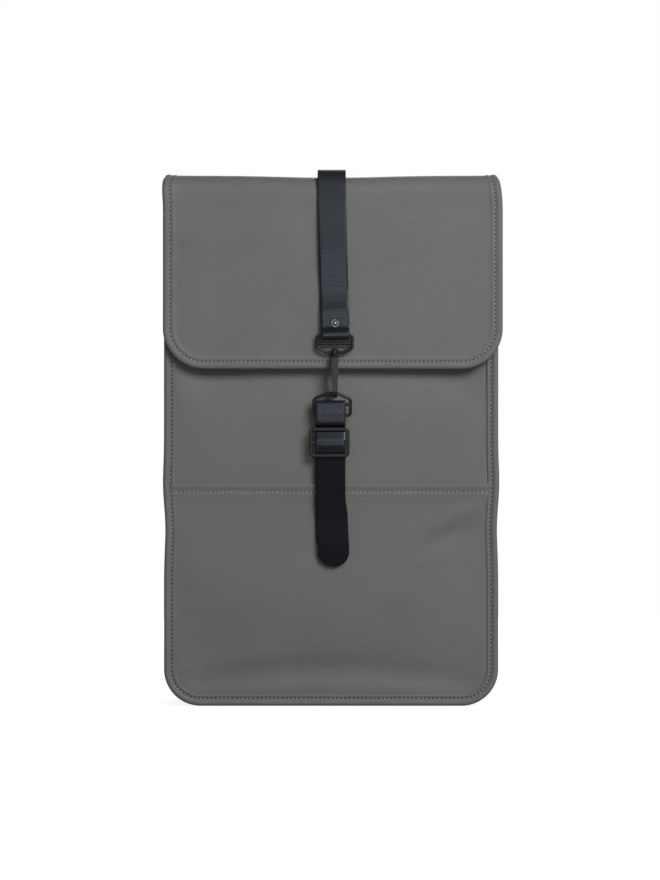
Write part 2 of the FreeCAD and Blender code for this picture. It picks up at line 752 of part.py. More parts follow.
def shoulder(side, name):
    _, length, lean, splay = shoulder_frame(side)
    loop = ring_bar_radius + ring_loop_clearance + strap_thick / 2

    # Rectangular ring, and the tab that ties it to the pad's end
    half = ring_half_width
    low = length
    outline = [(-half, low), (-half, low + small_ring_height), (half, low + small_ring_height), (half, low)]
    ring = round_frame(outline, [small_ring_corner] * 4, ring_bar_radius, -loop)
    export("shoulder_ring_" + name, to_shoulder(ring, side))
    top_bar = low + small_ring_height
    inner = ring_bar_radius + ring_loop_clearance + strap_thick / 2
    closed = strap_thick / 2 + layer_gap
    path = [
        (-loop + closed, top_bar + tab_length),
        (-loop + closed, top_bar + 5.5),
        (-loop + inner, top_bar + 1.5),
        (-loop + inner, top_bar - inner),
        (-loop - inner, top_bar - inner),
        (-loop - inner, top_bar + 1.5),
        (-loop - closed, top_bar + 5.5),
        (-loop - closed, top_bar + tab_length),
    ]
    tab = band(path, [0, 3, 3, inner, inner, 3, 3, 0], strap_thick, -strap_width / 2, strap_width / 2)
    export("pad_tab_" + name, to_shoulder(tab, side))
    pocket_half = strap_width / 2 + gap
    pocket_deep = strap_thick + 2 * layer_gap
    pocket = slab(-pocket_half, pocket_half, -loop - pocket_deep, -loop + pocket_deep,
                  top_bar + 2, top_bar + tab_length + gap)
    export("shoulder_pad_" + name, pad(side).cut(to_shoulder(pocket, side)))

    # Webbing with its slider
    slider_at = length - shoulder_slider_drop
    tail_end = shoulder_tail
    strap, _ = looped_strap(strap_width, gap, length, ring_bar_radius, ring_loop_clearance, tail_end,
                            slider_at + slider_height / 2, length)
    export("shoulder_webbing_" + name, to_shoulder(strap, side))
    export("shoulder_slider_" + name, to_shoulder(slider_shape(slider_at), side))
    export("shoulder_crossover_" + name, to_shoulder(crossover_shape(slider_at, strap_width), side))

    # Patch of body fabric that holds the webbing at the lower corner
    patch = [(-22, -20), (22, -20), (strap_width / 2 + 3, 0), (-strap_width / 2 - 3, 0)]
    anchor = plate(patch, [4, 4, 2, 2], back_y, back_y + 2 * fabric)
    anchor.rotate(V(0, 0, 0), V(0, 1, 0), side * math.degrees(splay))
    anchor.translate(V(side * shoulder_anchor_x, 0, shoulder_anchor_z))
    clear = welt_width + layer_gap
    inside, inside_radii = body_outline(half_width - clear, clear, mouth_z, corner_radius - clear)
    export("lower_anchor_" + name, anchor.common(plate(inside, inside_radii, back_y - 1, back_y + bag_depth)))


os.makedirs("parts", exist_ok=True)
front_panels()
export("front_welt", welt(front_y - welt_thick, front_y))
export("back_welt", welt(back_y, back_y + welt_thick))
gussets_and_base()
back_and_inside()
flap()
handle_and_closure_strap()
hook(hook_eye())
adjusting_strap()
for side_sign, side_name in ((-1, "left"), (1, "right")):
    shoulder(side_sign, side_name)
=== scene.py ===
import bmesh
import bpy
import math
import numpy as np
from mathutils import Matrix, Vector, noise


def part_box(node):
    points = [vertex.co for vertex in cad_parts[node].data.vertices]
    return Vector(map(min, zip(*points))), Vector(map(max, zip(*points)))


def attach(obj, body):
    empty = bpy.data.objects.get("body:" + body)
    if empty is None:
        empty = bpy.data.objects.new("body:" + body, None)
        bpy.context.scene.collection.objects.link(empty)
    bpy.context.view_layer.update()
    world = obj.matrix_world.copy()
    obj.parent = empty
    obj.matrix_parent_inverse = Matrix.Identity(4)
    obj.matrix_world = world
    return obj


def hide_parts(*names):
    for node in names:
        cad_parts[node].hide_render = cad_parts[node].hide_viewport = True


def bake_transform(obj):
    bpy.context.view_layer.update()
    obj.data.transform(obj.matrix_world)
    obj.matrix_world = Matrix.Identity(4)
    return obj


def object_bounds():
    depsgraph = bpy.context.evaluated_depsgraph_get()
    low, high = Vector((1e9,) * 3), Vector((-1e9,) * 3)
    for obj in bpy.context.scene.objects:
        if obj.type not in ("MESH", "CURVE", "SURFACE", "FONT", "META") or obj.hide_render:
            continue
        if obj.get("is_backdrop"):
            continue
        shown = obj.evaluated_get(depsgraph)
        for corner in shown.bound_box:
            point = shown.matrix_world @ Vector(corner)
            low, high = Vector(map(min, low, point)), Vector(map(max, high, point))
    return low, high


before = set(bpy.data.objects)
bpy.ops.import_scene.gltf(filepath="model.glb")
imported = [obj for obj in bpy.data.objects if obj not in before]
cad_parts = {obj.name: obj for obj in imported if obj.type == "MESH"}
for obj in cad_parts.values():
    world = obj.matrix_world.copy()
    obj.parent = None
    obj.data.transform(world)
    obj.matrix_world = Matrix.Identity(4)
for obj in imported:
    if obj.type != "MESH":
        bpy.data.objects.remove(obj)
cad_lo, cad_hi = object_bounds()

# All lengths below are in millimetres, in the frame of the CAD model, until mesh() scales them.
MM = 0.001
FABRIC = 1.6  # thickness of the CAD's flap
CLOTH_THICK = 1.3
WEB = 1.8  # thickness of the webbing
WEB_HALF = 12.5
DEPTH_HALF = 50.0
FRONT, BACK = -DEPTH_HALF, DEPTH_HALF


def edge(node, axis, side):
    """One face of a CAD node's box, in millimetres. side is 0 for the low face and 1 for the high one."""
    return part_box(node)[side][axis] / MM


HALF = edge("front_welt", 0, 1)
MOUTH = edge("front_welt", 2, 1)
TOP = edge("flap_top_panel", 2, 1)
FLAP_HALF = edge("flap_front_panel", 0, 1)
FLAP_LOW = edge("flap_front_panel", 2, 0)
FLAP_TOP_HALF = edge("flap_top_panel", 0, 1)
YOKE_LOW = edge("flap_yoke", 2, 0)
LAP_TOP = edge("front_lower_panel", 2, 1)
R_BODY = 32.0
R_FLAP = 36.0


# --- materials
class Nodes:
    """A node tree, with short ways to add to it. end is the shader whose inputs put() sets."""

    def __init__(self, tree, end):
        self.tree = tree
        self.end = tree.nodes[end]

    def feed(self, socket, value):
        """Links another node's output to the socket, or sets the socket to a plain value."""
        if isinstance(value, bpy.types.NodeSocket):
            self.tree.links.new(value, socket)
        else:
            socket.default_value = value

    def put(self, name, value):
        self.feed(self.end.inputs[name], value)

    def add(self, kind, inputs=None, **settings):
        made = self.tree.nodes.new("ShaderNode" + kind)
        for key, value in settings.items():
            setattr(made, key, value)
        for key, value in (inputs or {}).items():
            self.feed(made.inputs[key], value)
        return made

    def math(self, operation, a, b=None):
        return self.add("Math", {0: a} if b is None else {0: a, 1: b}, operation=operation).outputs[0]

    def place(self):
        """The point's place on the piece at rest, in metres."""
        return self.add("TexCoord").outputs["Object"]

    def split(self, vector):
        return self.add("SeparateXYZ", {0: vector}).outputs

    def noise(self, scale, detail=3.0, vector=None, rough=0.5):
        vector = self.place() if vector is None else vector
        inputs = {"Scale": scale, "Detail": detail, "Roughness": rough, "Vector": vector}
        return self.add("TexNoise", inputs).outputs["Fac"]

    def wave(self, value, length):
        return self.math("SINE", self.math("MULTIPLY", value, 2 * math.pi / length))

    def weave(self, pitch):
        """Crossed waves, as of threads that go over and under each other. pitch is in metres."""
        x, y, z = self.split(self.place())
        return self.math("MULTIPLY", self.wave(self.math("ADD", x, y), pitch), self.wave(z, pitch))

    def spread(self, value, low, high, centre=0.5, reach=0.25):
        """Maps a value from centre - reach to centre + reach onto low to high."""
        inputs = {"Value": value, "From Min": centre - reach, "From Max": centre + reach,
                  "To Min": low, "To Max": high}
        return self.add("MapRange", inputs).outputs["Result"]

    def tint(self, base, factor):
        """Sets the base colour, times a factor that varies over the surface."""
        scaled = self.add("VectorMath", {0: base, "Scale": factor}, operation="SCALE")
        self.put("Base Color", scaled.outputs[0])

    def bump(self, height, distance, strength, under=None):
        inputs = {"Distance": distance, "Strength": strength, "Height": height}
        if under is not None:
            inputs["Normal"] = under
        normal = self.add("Bump", inputs).outputs[0]
        self.put("Normal", normal)
        return normal


def new_material(name):
    material = bpy.data.materials.new(name)
    material.use_nodes = True
    return material, Nodes(material.node_tree, "Principled BSDF")


def coated_fabric(name, base, rough=0.62):
    """Matte coated cloth: a fine leathery grain, a faint weave under it, soft mottling and rubbed spots."""
    material, nodes = new_material(name)
    broad = nodes.spread(nodes.noise(16), 0.955, 1.045)
    fine = nodes.spread(nodes.noise(260, 4), 0.97, 1.03)
    nodes.tint(base, nodes.math("MULTIPLY", broad, fine))
    nodes.put("Roughness", nodes.spread(nodes.noise(55, 4), rough - 0.05, rough + 0.06))
    grain = nodes.bump(nodes.noise(1500, 2), 0.00008, 0.35)
    nodes.bump(nodes.weave(0.00075), 0.00003, 0.35, grain)
    nodes.put("Specular IOR Level", 0.30)
    nodes.put("Sheen Weight", 0.04)
    nodes.put("Sheen Roughness", 0.5)
    return material


def webbing(name, base, rough, specular=0.5, dull_from=None):
    """Coated webbing: ribs across the strap and faint lengthwise lines, laid out on the strap's own UVs.

    dull_from is the height from which handling has rubbed the gloss off, as on the carry handle.
    """
    material, nodes = new_material(name)
    uv = nodes.add("UVMap", uv_map="strap").outputs[0]
    across, length, _ = nodes.split(uv)
    wander = nodes.math("MULTIPLY", nodes.noise(0.22, 2, uv), 0.5)
    ribs = nodes.wave(nodes.math("ADD", length, wander), 1.15)
    lines = nodes.wave(across, 1.9)
    drawn_out = nodes.add("Mapping", {"Vector": uv, "Scale": (0.12, 2.4, 1)}, vector_type="POINT")
    streaks = nodes.noise(1.0, 3, drawn_out.outputs[0])
    mottle = nodes.spread(nodes.noise(30), 0.92, 1.08)
    nodes.tint(base, nodes.math("MULTIPLY", nodes.spread(streaks, 0.94, 1.06), mottle))
    gloss = nodes.spread(streaks, rough - 0.02, rough + 0.03)
    if dull_from is not None:
        reach = 0.033
        height = nodes.split(nodes.place())["Z"]
        gloss = nodes.math("ADD", gloss, nodes.spread(height, 0, 0.4, dull_from + reach, reach))
    nodes.put("Roughness", gloss)
    threads = nodes.math("ADD", nodes.math("MULTIPLY", ribs, 0.6), nodes.math("MULTIPLY", lines, 0.25))
    nodes.bump(streaks, 0.00001, 0.3, nodes.bump(threads, 0.00006, 0.5))
    nodes.put("Specular IOR Level", specular)
    nodes.put("Specular Tint", (0.80, 0.88, 1.0, 1))
    return material


def hard_coat(name, base, metallic, rough, speck, specular=0.5):
    """Coated cast metal with a slightly uneven skin, speck millimetres deep, and paler rubbed spots."""
    material, nodes = new_material(name)
    nodes.tint(base, nodes.spread(nodes.noise(170, 5, None, 0.65), 0.85, 1.3))
    nodes.put("Roughness", nodes.spread(nodes.noise(420), rough - 0.07, rough + 0.08))
    nodes.bump(nodes.noise(900), speck * MM, 0.5)
    nodes.put("Metallic", metallic)
    nodes.put("Specular IOR Level", specular)
    return material


def plain_weave(name, base, pitch=0.9, rough=0.8):
    """Uncoated lining or thread: a visible over-and-under weave."""
    material, nodes = new_material(name)
    over = nodes.weave(pitch * MM)
    mottle = nodes.spread(nodes.noise(40), 0.92, 1.08)
    nodes.tint(base, nodes.math("MULTIPLY", nodes.spread(over, 0.85, 1.15, 0, 1), mottle))
    nodes.put("Roughness", nodes.spread(over, rough - 0.06, rough + 0.06, 0, 1))
    nodes.bump(over, 0.00015, 0.5)
    return material


CLOTH = coated_fabric("coated_cloth", (0.157, 0.156, 0.1485))
CLOTH_INSIDE = plain_weave("cloth_reverse", (0.05, 0.05, 0.05))
PAD_CLOTH = coated_fabric("pad_cloth", (0.128, 0.127, 0.121), 0.66)
MESH_CLOTH = plain_weave("spacer_mesh", (0.03, 0.03, 0.032), 2.4, 0.85)
LINING = plain_weave("lining", (0.032, 0.032, 0.036), 0.8)
STRAP = webbing("strap_dark", (0.0070, 0.0078, 0.0110), 0.25, dull_from=0.398)
STRAP_GREY = webbing("strap_lower", (0.0080, 0.0095, 0.0135), 0.27)
# Painted shade on the tail: it is the same webbing as strap_lower, given a darker base that stands for the
# shade it hangs in. The sleeve and pad bindings use this material as plain dark tape.
DARK_TAPE_AND_SHADED_TAIL = webbing("dark_tape_and_tail_painted_shade", (0.0040, 0.0043, 0.0056), 0.45, 0.14)
THREAD = plain_weave("thread", (0.36, 0.355, 0.335), 0.5, 0.7)
# Painted shade: near-black beads that stand for the shadow inside the needle holes between stitches.
NEEDLE_HOLE_SHADE = plain_weave("needle_hole_painted_shade", (0.008, 0.008, 0.008), 0.5, 0.9)
HARDWARE = hard_coat("dark_hardware", (0.0135, 0.014, 0.018), 0.2, 0.33, 0.04, 0.42)
RIVET = hard_coat("rivet_metal", (0.035, 0.036, 0.042), 0.85, 0.30, 0.03)
RIVET_STAR = hard_coat("rivet_star_metal", (0.42, 0.44, 0.46), 0.9, 0.36, 0.02)
STEEL = hard_coat("spring_steel", (0.4, 0.4, 0.41), 1.0, 0.3, 0.01)


# --- mesh tools
def mesh(name, verts, faces, mats, uvs=None, face_mats=None):
    """A smooth mesh object. uvs has a pair for each vertex, and face_mats a slot of mats for each face."""
    data = bpy.data.meshes.new(name)
    data.from_pydata([tuple(c * MM for c in v) for v in verts], [], faces)
    for m in mats:
        data.materials.append(m)
    if face_mats is not None:
        data.polygons.foreach_set("material_index", face_mats)
    if uvs is not None:
        layer = data.uv_layers.new(name="strap")
        corners = [uvs[i] for face in faces for i in face]
        layer.data.foreach_set("uv", [c for uv in corners for c in uv])
    data.polygons.foreach_set("use_smooth", [True] * len(data.polygons))
    data.validate()
    obj = bpy.data.objects.new(name, data)
    bpy.context.collection.objects.link(obj)
    return obj


def solid(name, verts, faces, mats, **more):
    """A closed mesh with all its faces turned outwards."""
    obj = mesh(name, verts, faces, mats, **more)
    bm = bmesh.new()
    bm.from_mesh(obj.data)
    bmesh.ops.recalc_face_normals(bm, faces=bm.faces)
    bm.to_mesh(obj.data)
    bm.free()
    return obj


def cloth(name, built, out, nodes, mats=None, thick=CLOTH_THICK, slot="coated_fabric", body="bag", **sheet):
    """A sheet of cloth from (verts, faces) of its outer face, which looks along out on the whole.
    """
    mats = mats or [CLOTH, CLOTH_INSIDE]
    obj = mesh(name, *built, mats)
    total = Vector((0, 0, 0))
    for poly in obj.data.polygons:
        total += poly.normal * poly.area
    if total.dot(Vector(out)) < 0:
        obj.data.flip_normals()
    mod = obj.modifiers.new("thick", "SOLIDIFY")
    mod.thickness = thick * MM
    mod.offset = -1
    mod.use_rim = True
    mod.material_offset = len(mats) - 1
    graph = bpy.context.evaluated_depsgraph_get()
    data = bpy.data.meshes.new_from_object(obj.evaluated_get(graph), depsgraph=graph)
    obj.modifiers.clear()
    obj.data = data
    obj.data.set_sharp_from_angle(angle=math.radians(50))
    place_on(obj, body, nodes)


def smoothstep(a, b, x):
    t = min(1.0, max(0.0, (x - a) / (b - a)))
    return t * t * (3 - 2 * t)


def soft(x, y, z, size, seed=0.0):
    """Smooth noise from -1 to 1 that varies over about the given length."""
    return noise.noise(Vector((x / size + seed, y / size - seed, z / size + 0.37 * seed)))


def profile(points):
    """A smooth curve through (distance, height) points."""
    xs = [p[0] for p in points]
    ys = [p[1] for p in points]

    def at(d):
        if d >= xs[-1]:
            return ys[-1]
        for i in range(len(xs) - 1):
            if d <= xs[i + 1]:
                t = max(0.0, (d - xs[i]) / (xs[i + 1] - xs[i]))
                return ys[i] + (ys[i + 1] - ys[i]) * t * t * (3 - 2 * t)
        return ys[-1]

    return at


def steps(low, high, pitch):
    count = max(1, round(abs(high - low) / pitch))
    return [low + (high - low) * i / count for i in range(count + 1)]


def u_line(half, radius, rows, pitch, d):
    """The path at distance d inside the edge: down the left side, round the bottom and up the right side."""
    turn = max(6, int(radius * 1.6 / pitch * 2))

    def corner(x, start):
        angles = [start + math.pi / 2 * i / turn for i in range(1, turn)]
        return [(x + (radius - d) * math.cos(a), radius + (radius - d) * math.sin(a)) for a in angles]

    flat = [(x, d) for x in steps(-half + radius, half - radius, pitch)]
    path = [(-half + d, w) for w in rows[::-1]] + corner(-half + radius, math.pi) + flat
    return path + corner(half - radius, 1.5 * math.pi) + [(half - d, w) for w in rows], turn


def u_patch(half, radius, rows, surface, pitch, rings):
    """Sheet with straight sides, a straight lower edge and two round lower corners.

    rows are the heights above the lower edge where the sides are sampled, from the radius up. surface maps
    (x, w, d) to a point, where w is the height above the lower edge and d the distance in from the edge.
    Rings that follow the edge carry the hems, and a plain grid fills the middle.
    """
    rings = [d for d in rings if d < radius - 0.5] + [radius]
    flat = steps(-half + radius, half - radius, pitch)
    verts = []
    index = []
    for d in rings:
        row = []
        path, turn = u_line(half, radius, rows, pitch, d)
        last = None
        for x, w in path:
            key = (round(x, 4), round(w, 4))
            if key == last:
                row.append(row[-1])
                continue
            row.append(len(verts))
            verts.append((x, w, d))
            last = key
        index.append(row)
    faces = []

    def quad(a, b, c, e):
        loop = [a, b, c, e]
        kept = [v for i, v in enumerate(loop) if v != loop[i - 1]]
        if len(kept) > 2:
            faces.append(tuple(kept))

    for outer, inner in zip(index, index[1:]):
        for i in range(len(outer) - 1):
            quad(outer[i], outer[i + 1], inner[i + 1], inner[i])
    count = len(rows)
    inner = index[-1]
    left = inner[:count][::-1]
    right = inner[-count:]
    base = inner[count + turn - 1:count + turn - 1 + len(flat)]
    below = base
    for j in range(1, count):
        row = [left[j]]
        for x in flat[1:-1]:
            row.append(len(verts))
            verts.append((x, rows[j], radius + min(x + half - radius, half - radius - x, rows[j] - radius)))
        row.append(right[j])
        for i in range(len(flat) - 1):
            quad(below[i], below[i + 1], row[i + 1], row[i])
        below = row
    return [surface(*v) for v in verts], faces


def rounded_path(points, radii, step=1.0):
    """Dense 2-D points along straight runs joined by tangent arcs."""
    pts = [Vector(p) for p in points]
    out = [pts[0]]

    def run_to(q):
        p = out[-1]
        n = max(1, int((q - p).length / step))
        out.extend(p.lerp(q, (i + 1) / n) for i in range(n))

    for i in range(1, len(pts) - 1):
        a, p, b = pts[i - 1], pts[i], pts[i + 1]
        u, v = (a - p).normalized(), (b - p).normalized()
        half = u.angle(v) / 2
        r = radii[i]
        if r <= 0 or half > math.pi / 2 - 1e-4:
            run_to(p)
            continue
        reach = r / math.tan(half)
        start = p + u * reach
        if (start - out[-1]).length > 1e-4:
            run_to(start)
        centre = p + (u + v).normalized() * (r / math.sin(half))
        e0, e1 = start - centre, p + v * reach - centre
        sweep = e0.angle_signed(e1)
        n = max(3, int(abs(sweep) * max(r, 1.5) / step * 1.5))
        for k in range(1, n + 1):
            c, s = math.cos(-sweep * k / n), math.sin(-sweep * k / n)
            out.append(centre + Vector((e0.x * c - e0.y * s, e0.x * s + e0.y * c)))
    if (pts[-1] - out[-1]).length > 1e-4:
        run_to(pts[-1])
    return out


def walk(path):
    """Length along a path of 2-D points, as a list."""
    out = [0.0]
    for a, b in zip(path, path[1:]):
        out.append(out[-1] + (b - a).length)
    return out


def tube_faces(first, rings, sides, wrap=False):
    """Quads between rings of vertices that follow each other, and back to the first ring with wrap."""
    faces = []
    for i in range(rings if wrap else rings - 1):
        low, high = first + i * sides, first + (i + 1) % rings * sides
        faces += [(low + k, low + (k + 1) % sides, high + (k + 1) % sides, high + k) for k in range(sides)]
    return faces


def strap(name, run, place, mat, body, nodes, half=WEB_HALF, round_end=None, round_start=None, caps=True):
    """Webbing with a flat section and soft edges. place maps (x, y, z) to a point.

    run is the (y, z) corners of its path, their radii and the step. half is half its width, or a function
    that gives it at a length along the path. round_end and round_start are the lengths over which an end is
    cut round, and caps is false for a strap whose ends meet another's.
    """
    path = rounded_path(*run)
    half_at = half if callable(half) else lambda s: half
    edge_r = 0.6
    section = []
    for sx, sy in ((1, 1), (-1, 1), (-1, -1), (1, -1)):
        start = math.atan2(sy, sx) - math.pi / 4
        for k in range(4):
            a = start + math.pi / 2 * k / 3
            section.append((sx, edge_r * math.cos(a), sy * (WEB / 2 - edge_r) + edge_r * math.sin(a)))
    ribs = [-0.86, -0.5, 0, 0.5, 0.86]  # shares of the half width
    ring = []
    for k, (sx, dx, y) in enumerate(section):
        ring.append((sx, dx, y))
        if k == 3:
            ring += [(r, 0, WEB / 2) for r in ribs[::-1]]
        if k == 11:
            ring += [(r, 0, -WEB / 2) for r in ribs]
    count = len(ring)
    verts, uvs = [], []
    lengths = walk(path)
    total = lengths[-1]
    for i, p in enumerate(path):
        t = (path[min(i + 1, len(path) - 1)] - path[max(i - 1, 0)]).normalized()
        n = Vector((-t.y, t.x))
        s = lengths[i]
        h = half_at(s)
        for cut, from_end in ((round_end, total - s), (round_start, s)):
            if cut is not None and from_end < cut:
                q = 1 - from_end / cut
                h *= math.sqrt(max(0.0004, 1 - q * q))
        inner = max(0.02, h - edge_r)
        for sx, dx, dn in ring:
            x = sx * inner + dx * min(1, h)
            verts.append(place(x, p.x + n.x * dn, p.y + n.y * dn))
            uvs.append((x, s))
    faces = [(a, d, c, b) for a, b, c, d in tube_faces(0, len(path), count)]
    if caps:
        faces.append(tuple(range(count)))
        faces.append(tuple(range((len(path) - 1) * count, len(path) * count))[::-1])
    place_on(solid(name, verts, faces, [mat], uvs=uvs), body, nodes)


def along(line, pitch, offset=0.5):
    """Places at an even pitch along a line of (point, normal) pairs, each with its direction and normal."""
    out = []
    travelled, target = 0.0, pitch * offset
    for (a, na), (b, nb) in zip(line, line[1:]):
        d = (b - a).length
        while d > 1e-6 and travelled + d >= target:
            q = (target - travelled) / d
            out.append((a.lerp(b, q), (b - a).normalized(), na.lerp(nb, q)))
            target += pitch
        travelled += d
    return out


def sew(name, lines, body="bag"):
    """Rows of separate threads with a near-black bead between each pair, which paints the shade in the needle
    hole. lines hold (point, normal) pairs.
    """
    pitch, length, half_width = 3.7, 1.95, 0.46
    sides = 6
    verts, faces, which = [], [], []
    stations = (-1, -0.8, -0.35, 0.35, 0.8, 1)

    def bead(centre, t, n, half_long, half_wide, lift, height, slot_index):
        n = (n - t * n.dot(t)).normalized()
        side = n.cross(t)
        first = len(verts)
        for q in stations:
            fat = math.sqrt(1 - q * q * 0.94)
            for k in range(sides):
                a = 2 * math.pi * k / sides
                verts.append(centre + t * (q * half_long) + side * (half_wide * fat * math.cos(a))
                             + n * (lift * (1 - q * q) + height * fat * math.sin(a)))
        faces.extend(tube_faces(first, len(stations), sides))
        faces.append(tuple(first + k for k in range(sides - 1, -1, -1)))
        faces.append(tuple(len(verts) - sides + k for k in range(sides)))
        which.extend([slot_index] * (len(faces) - len(which)))

    for line in lines:
        for centre, t, n in along(line, pitch):
            bead(centre, t, n, length / 2, half_width, 0.25, half_width * 0.8, 0)
        # Near-black beads between the threads: painted shade in the needle holes.
        for centre, t, n in along(line, pitch, 1.0):
            bead(centre, t, n, (pitch - length) / 2 + 0.1, half_width * 1.3, 0.0, 0.18, 1)
    place_on(solid(name, verts, faces, [THREAD, NEEDLE_HOLE_SHADE], face_mats=which), body)


def piping(name, line, half_w, half_h, mat, closed=False, sides=10):
    """Rounded strip along a line of (point, normal) pairs: half_h along the normal, half_w across it."""
    verts = []
    count = len(line)
    for i, (p, n) in enumerate(line):
        before = line[i - 1][0] if i or closed else p
        after = line[(i + 1) % count][0] if i < count - 1 or closed else p
        t = (after - before).normalized()
        n = (n - t * n.dot(t)).normalized()
        side = n.cross(t)
        for k in range(sides):
            a = 2 * math.pi * k / sides
            c, s = math.cos(a), math.sin(a)
            verts.append(p + side * (half_w * math.copysign(abs(c) ** 0.6, c))
                         + n * (half_h * math.copysign(abs(s) ** 0.6, s)))
    faces = tube_faces(0, count, sides, closed)
    if not closed:
        faces.append(tuple(range(sides))[::-1])
        faces.append(tuple(range((count - 1) * sides, count * sides)))
    return solid(name, verts, faces, [mat])


def grid(us, vs, surface):
    verts = [surface(u, v) for v in vs for u in us]
    n = len(us)
    faces = [(j * n + i, j * n + i + 1, (j + 1) * n + i + 1, (j + 1) * n + i)
             for j in range(len(vs) - 1) for i in range(n - 1)]
    return verts, faces


def shell(us, vs, surface):
    """Closed shell of two grids joined at their edges. surface maps (u, v, side), for side -1 and then 1."""
    verts, faces = grid(us, vs, lambda u, v: surface(u, v, -1))
    back_verts, back_faces = grid(us, vs, lambda u, v: surface(u, v, 1))
    count, nu, nv = len(verts), len(us), len(vs)
    loop = list(range(nu)) + [j * nu + nu - 1 for j in range(1, nv)]
    loop += [(nv - 1) * nu + i for i in range(nu - 2, -1, -1)] + [j * nu for j in range(nv - 2, 0, -1)]
    faces += [tuple(i + count for i in f[::-1]) for f in back_faces]
    faces += [(b, a, a + count, b + count) for a, b in zip(loop, loop[1:] + loop[:1])]
    return verts + back_verts, faces


def place_on(obj, body, nodes=()):
    """The piece rides on a body; when body is (first, second, start, end), its place is only baked into its
    mesh.
    """
    if isinstance(body, str):
        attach(obj, body)
    else:
        first, second, start, end = body
        [c * MM for c in start]
        [c * MM for c in end]
        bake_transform(obj)
    if nodes:
        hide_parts(*nodes)
    return obj


# --- shape of the bag's outside
RIM_SECTION = [(-0.2, -1.6), (-0.4, -0.7), (-0.4, 0.2), (-0.1, 1.0), (0.5, 1.7), (1.3, 2.2), (2.3, 2.4),
               (3.4, 2.2), (4.4, 1.7), (5.0, 1.2), (5.5, 0.75), (5.9, 0.5), (6.2, 0.45), (6.6, 0.6),
               (7.1, 0.95), (7.8, 1.3), (8.6, 1.4), (9.3, 1.1), (9.9, 0.5), (10.3, -0.3), (10.4, -0.8)]
STITCH_ROW = 12
PANEL_IN = 6.4


def side_push(z):
    """How far the sides stand out or pinch in: a little fuller at the pocket seam, tighter just below it."""
    return 1.0 * math.exp(-((z - 196) / 22) ** 2) - 1.2 * math.exp(-((z - 156) / 24) ** 2)


def body_x(x, z):
    return x * (1 + side_push(z) / HALF)


def bell(x, centre, reach):
    return math.exp(-((x - centre) / reach) ** 2)


def lower_relief(x, z):
    """Soft shape of the lower front, outwards positive: a fuller belly, slack folds and a dent."""
    anchor = 1 - bell(x, 0, 32) * bell(z, 152, 32)
    belly = 2.2 * bell(z, 84, 42) * (1 - (x / 150) ** 2)
    hollow = -3.8 * bell(z + 0.0011 * x * x, 31, 12) * (0.85 + 0.15 * soft(x, 0, z, 60, 3))
    toe = 1.2 * bell(z, 14, 7)
    u = (x - 112) * 0.88 + (z - 153) * 0.47
    v = -(x - 112) * 0.47 + (z - 153) * 0.88
    dent = -3.0 * bell(u, 0, 27) * bell(v, 0, 8) + 1.6 * bell(u, 0, 30) * bell(v, 14, 8)
    corners = -1.4 * bell(x, -112, 26) * bell(z, 52, 26) - 1.1 * bell(x, 108, 30) * bell(z, 44, 24)
    slack = 0.55 * soft(x, 0, z, 55, 1.0) + 0.25 * soft(x, 0, z, 24, 2.0)
    return (belly + hollow + toe + dent + corners + slack) * anchor


def upper_relief(x, z):
    """Soft shape of the upper front: slack cloth that falls back under the flap."""
    slack = 0.7 * soft(x, 5, z, 70, 4.0) + 0.2 * soft(x, 5, z, 30, 5.0)
    recess = 9.0 * bell(z, 309, 28) * (0.62 + 0.38 * bell(abs(x), 108, 44))
    return slack - recess


PANEL_RINGS = [0, 1.5, 3, 5, 8, 12, 17]
lap_edge = profile([(0, -0.5), (0.4, 0.9), (1.2, 1.75), (3, 1.7), (5.2, 1.35), (6.6, 0.85), (7.6, 0.5),
                    (8.6, 0.85), (10.5, 0.95), (13, 0.6), (20, 0.1), (26, 0)])
LAP_STITCH = 7.6


def lower_surface(x, w, d):
    z = w + PANEL_IN
    inset = smoothstep(1, 20, d)
    y = FRONT - 0.25 * smoothstep(0, 3, d) - lower_relief(x, z) * inset * (1 - 0.9 * smoothstep(176, 190, z))
    return body_x(x, z), y - lap_edge(LAP_TOP - z), z


def front_panels():
    rows = steps(R_BODY, LAP_TOP - 26, 4.5)[:-1] + steps(LAP_TOP - 26, LAP_TOP, 0.8)
    built = u_patch(HALF - PANEL_IN, R_BODY - PANEL_IN, [w - PANEL_IN for w in rows], lower_surface, 4.0,
                    PANEL_RINGS)
    cloth("lower_front_cloth", built, (0, -1, 0), ["front_lower_panel"],
          flat=(2 * HALF * MM, LAP_TOP * MM), held="stretched", rests_on=["front_upper_panel"])

    def upper_surface(x, z):
        fade = smoothstep(4, 40, HALF - abs(x)) * smoothstep(198, 214, z) * smoothstep(0, 12, MOUTH - z)
        return body_x(x, z), FRONT - upper_relief(x, z) * fade, z

    low = LAP_TOP - 9
    built = grid(steps(-HALF + 5, HALF - 5, 5), steps(low, MOUTH, 4), upper_surface)
    cloth("upper_front_cloth", built, (0, -1, 0), ["front_upper_panel"],
          flat=(2 * HALF * MM, (MOUTH - low) * MM), held="stretched", rests_on=["front_lower_panel"])

    z = LAP_TOP - LAP_STITCH
    line = [(Vector((body_x(x, z), FRONT - 0.25 - lap_edge(LAP_STITCH), z)), Vector((0, -1, 0)))
            for x in steps(-HALF + 10, HALF - 10, 3)]
    sew("lap_stitches", [line])


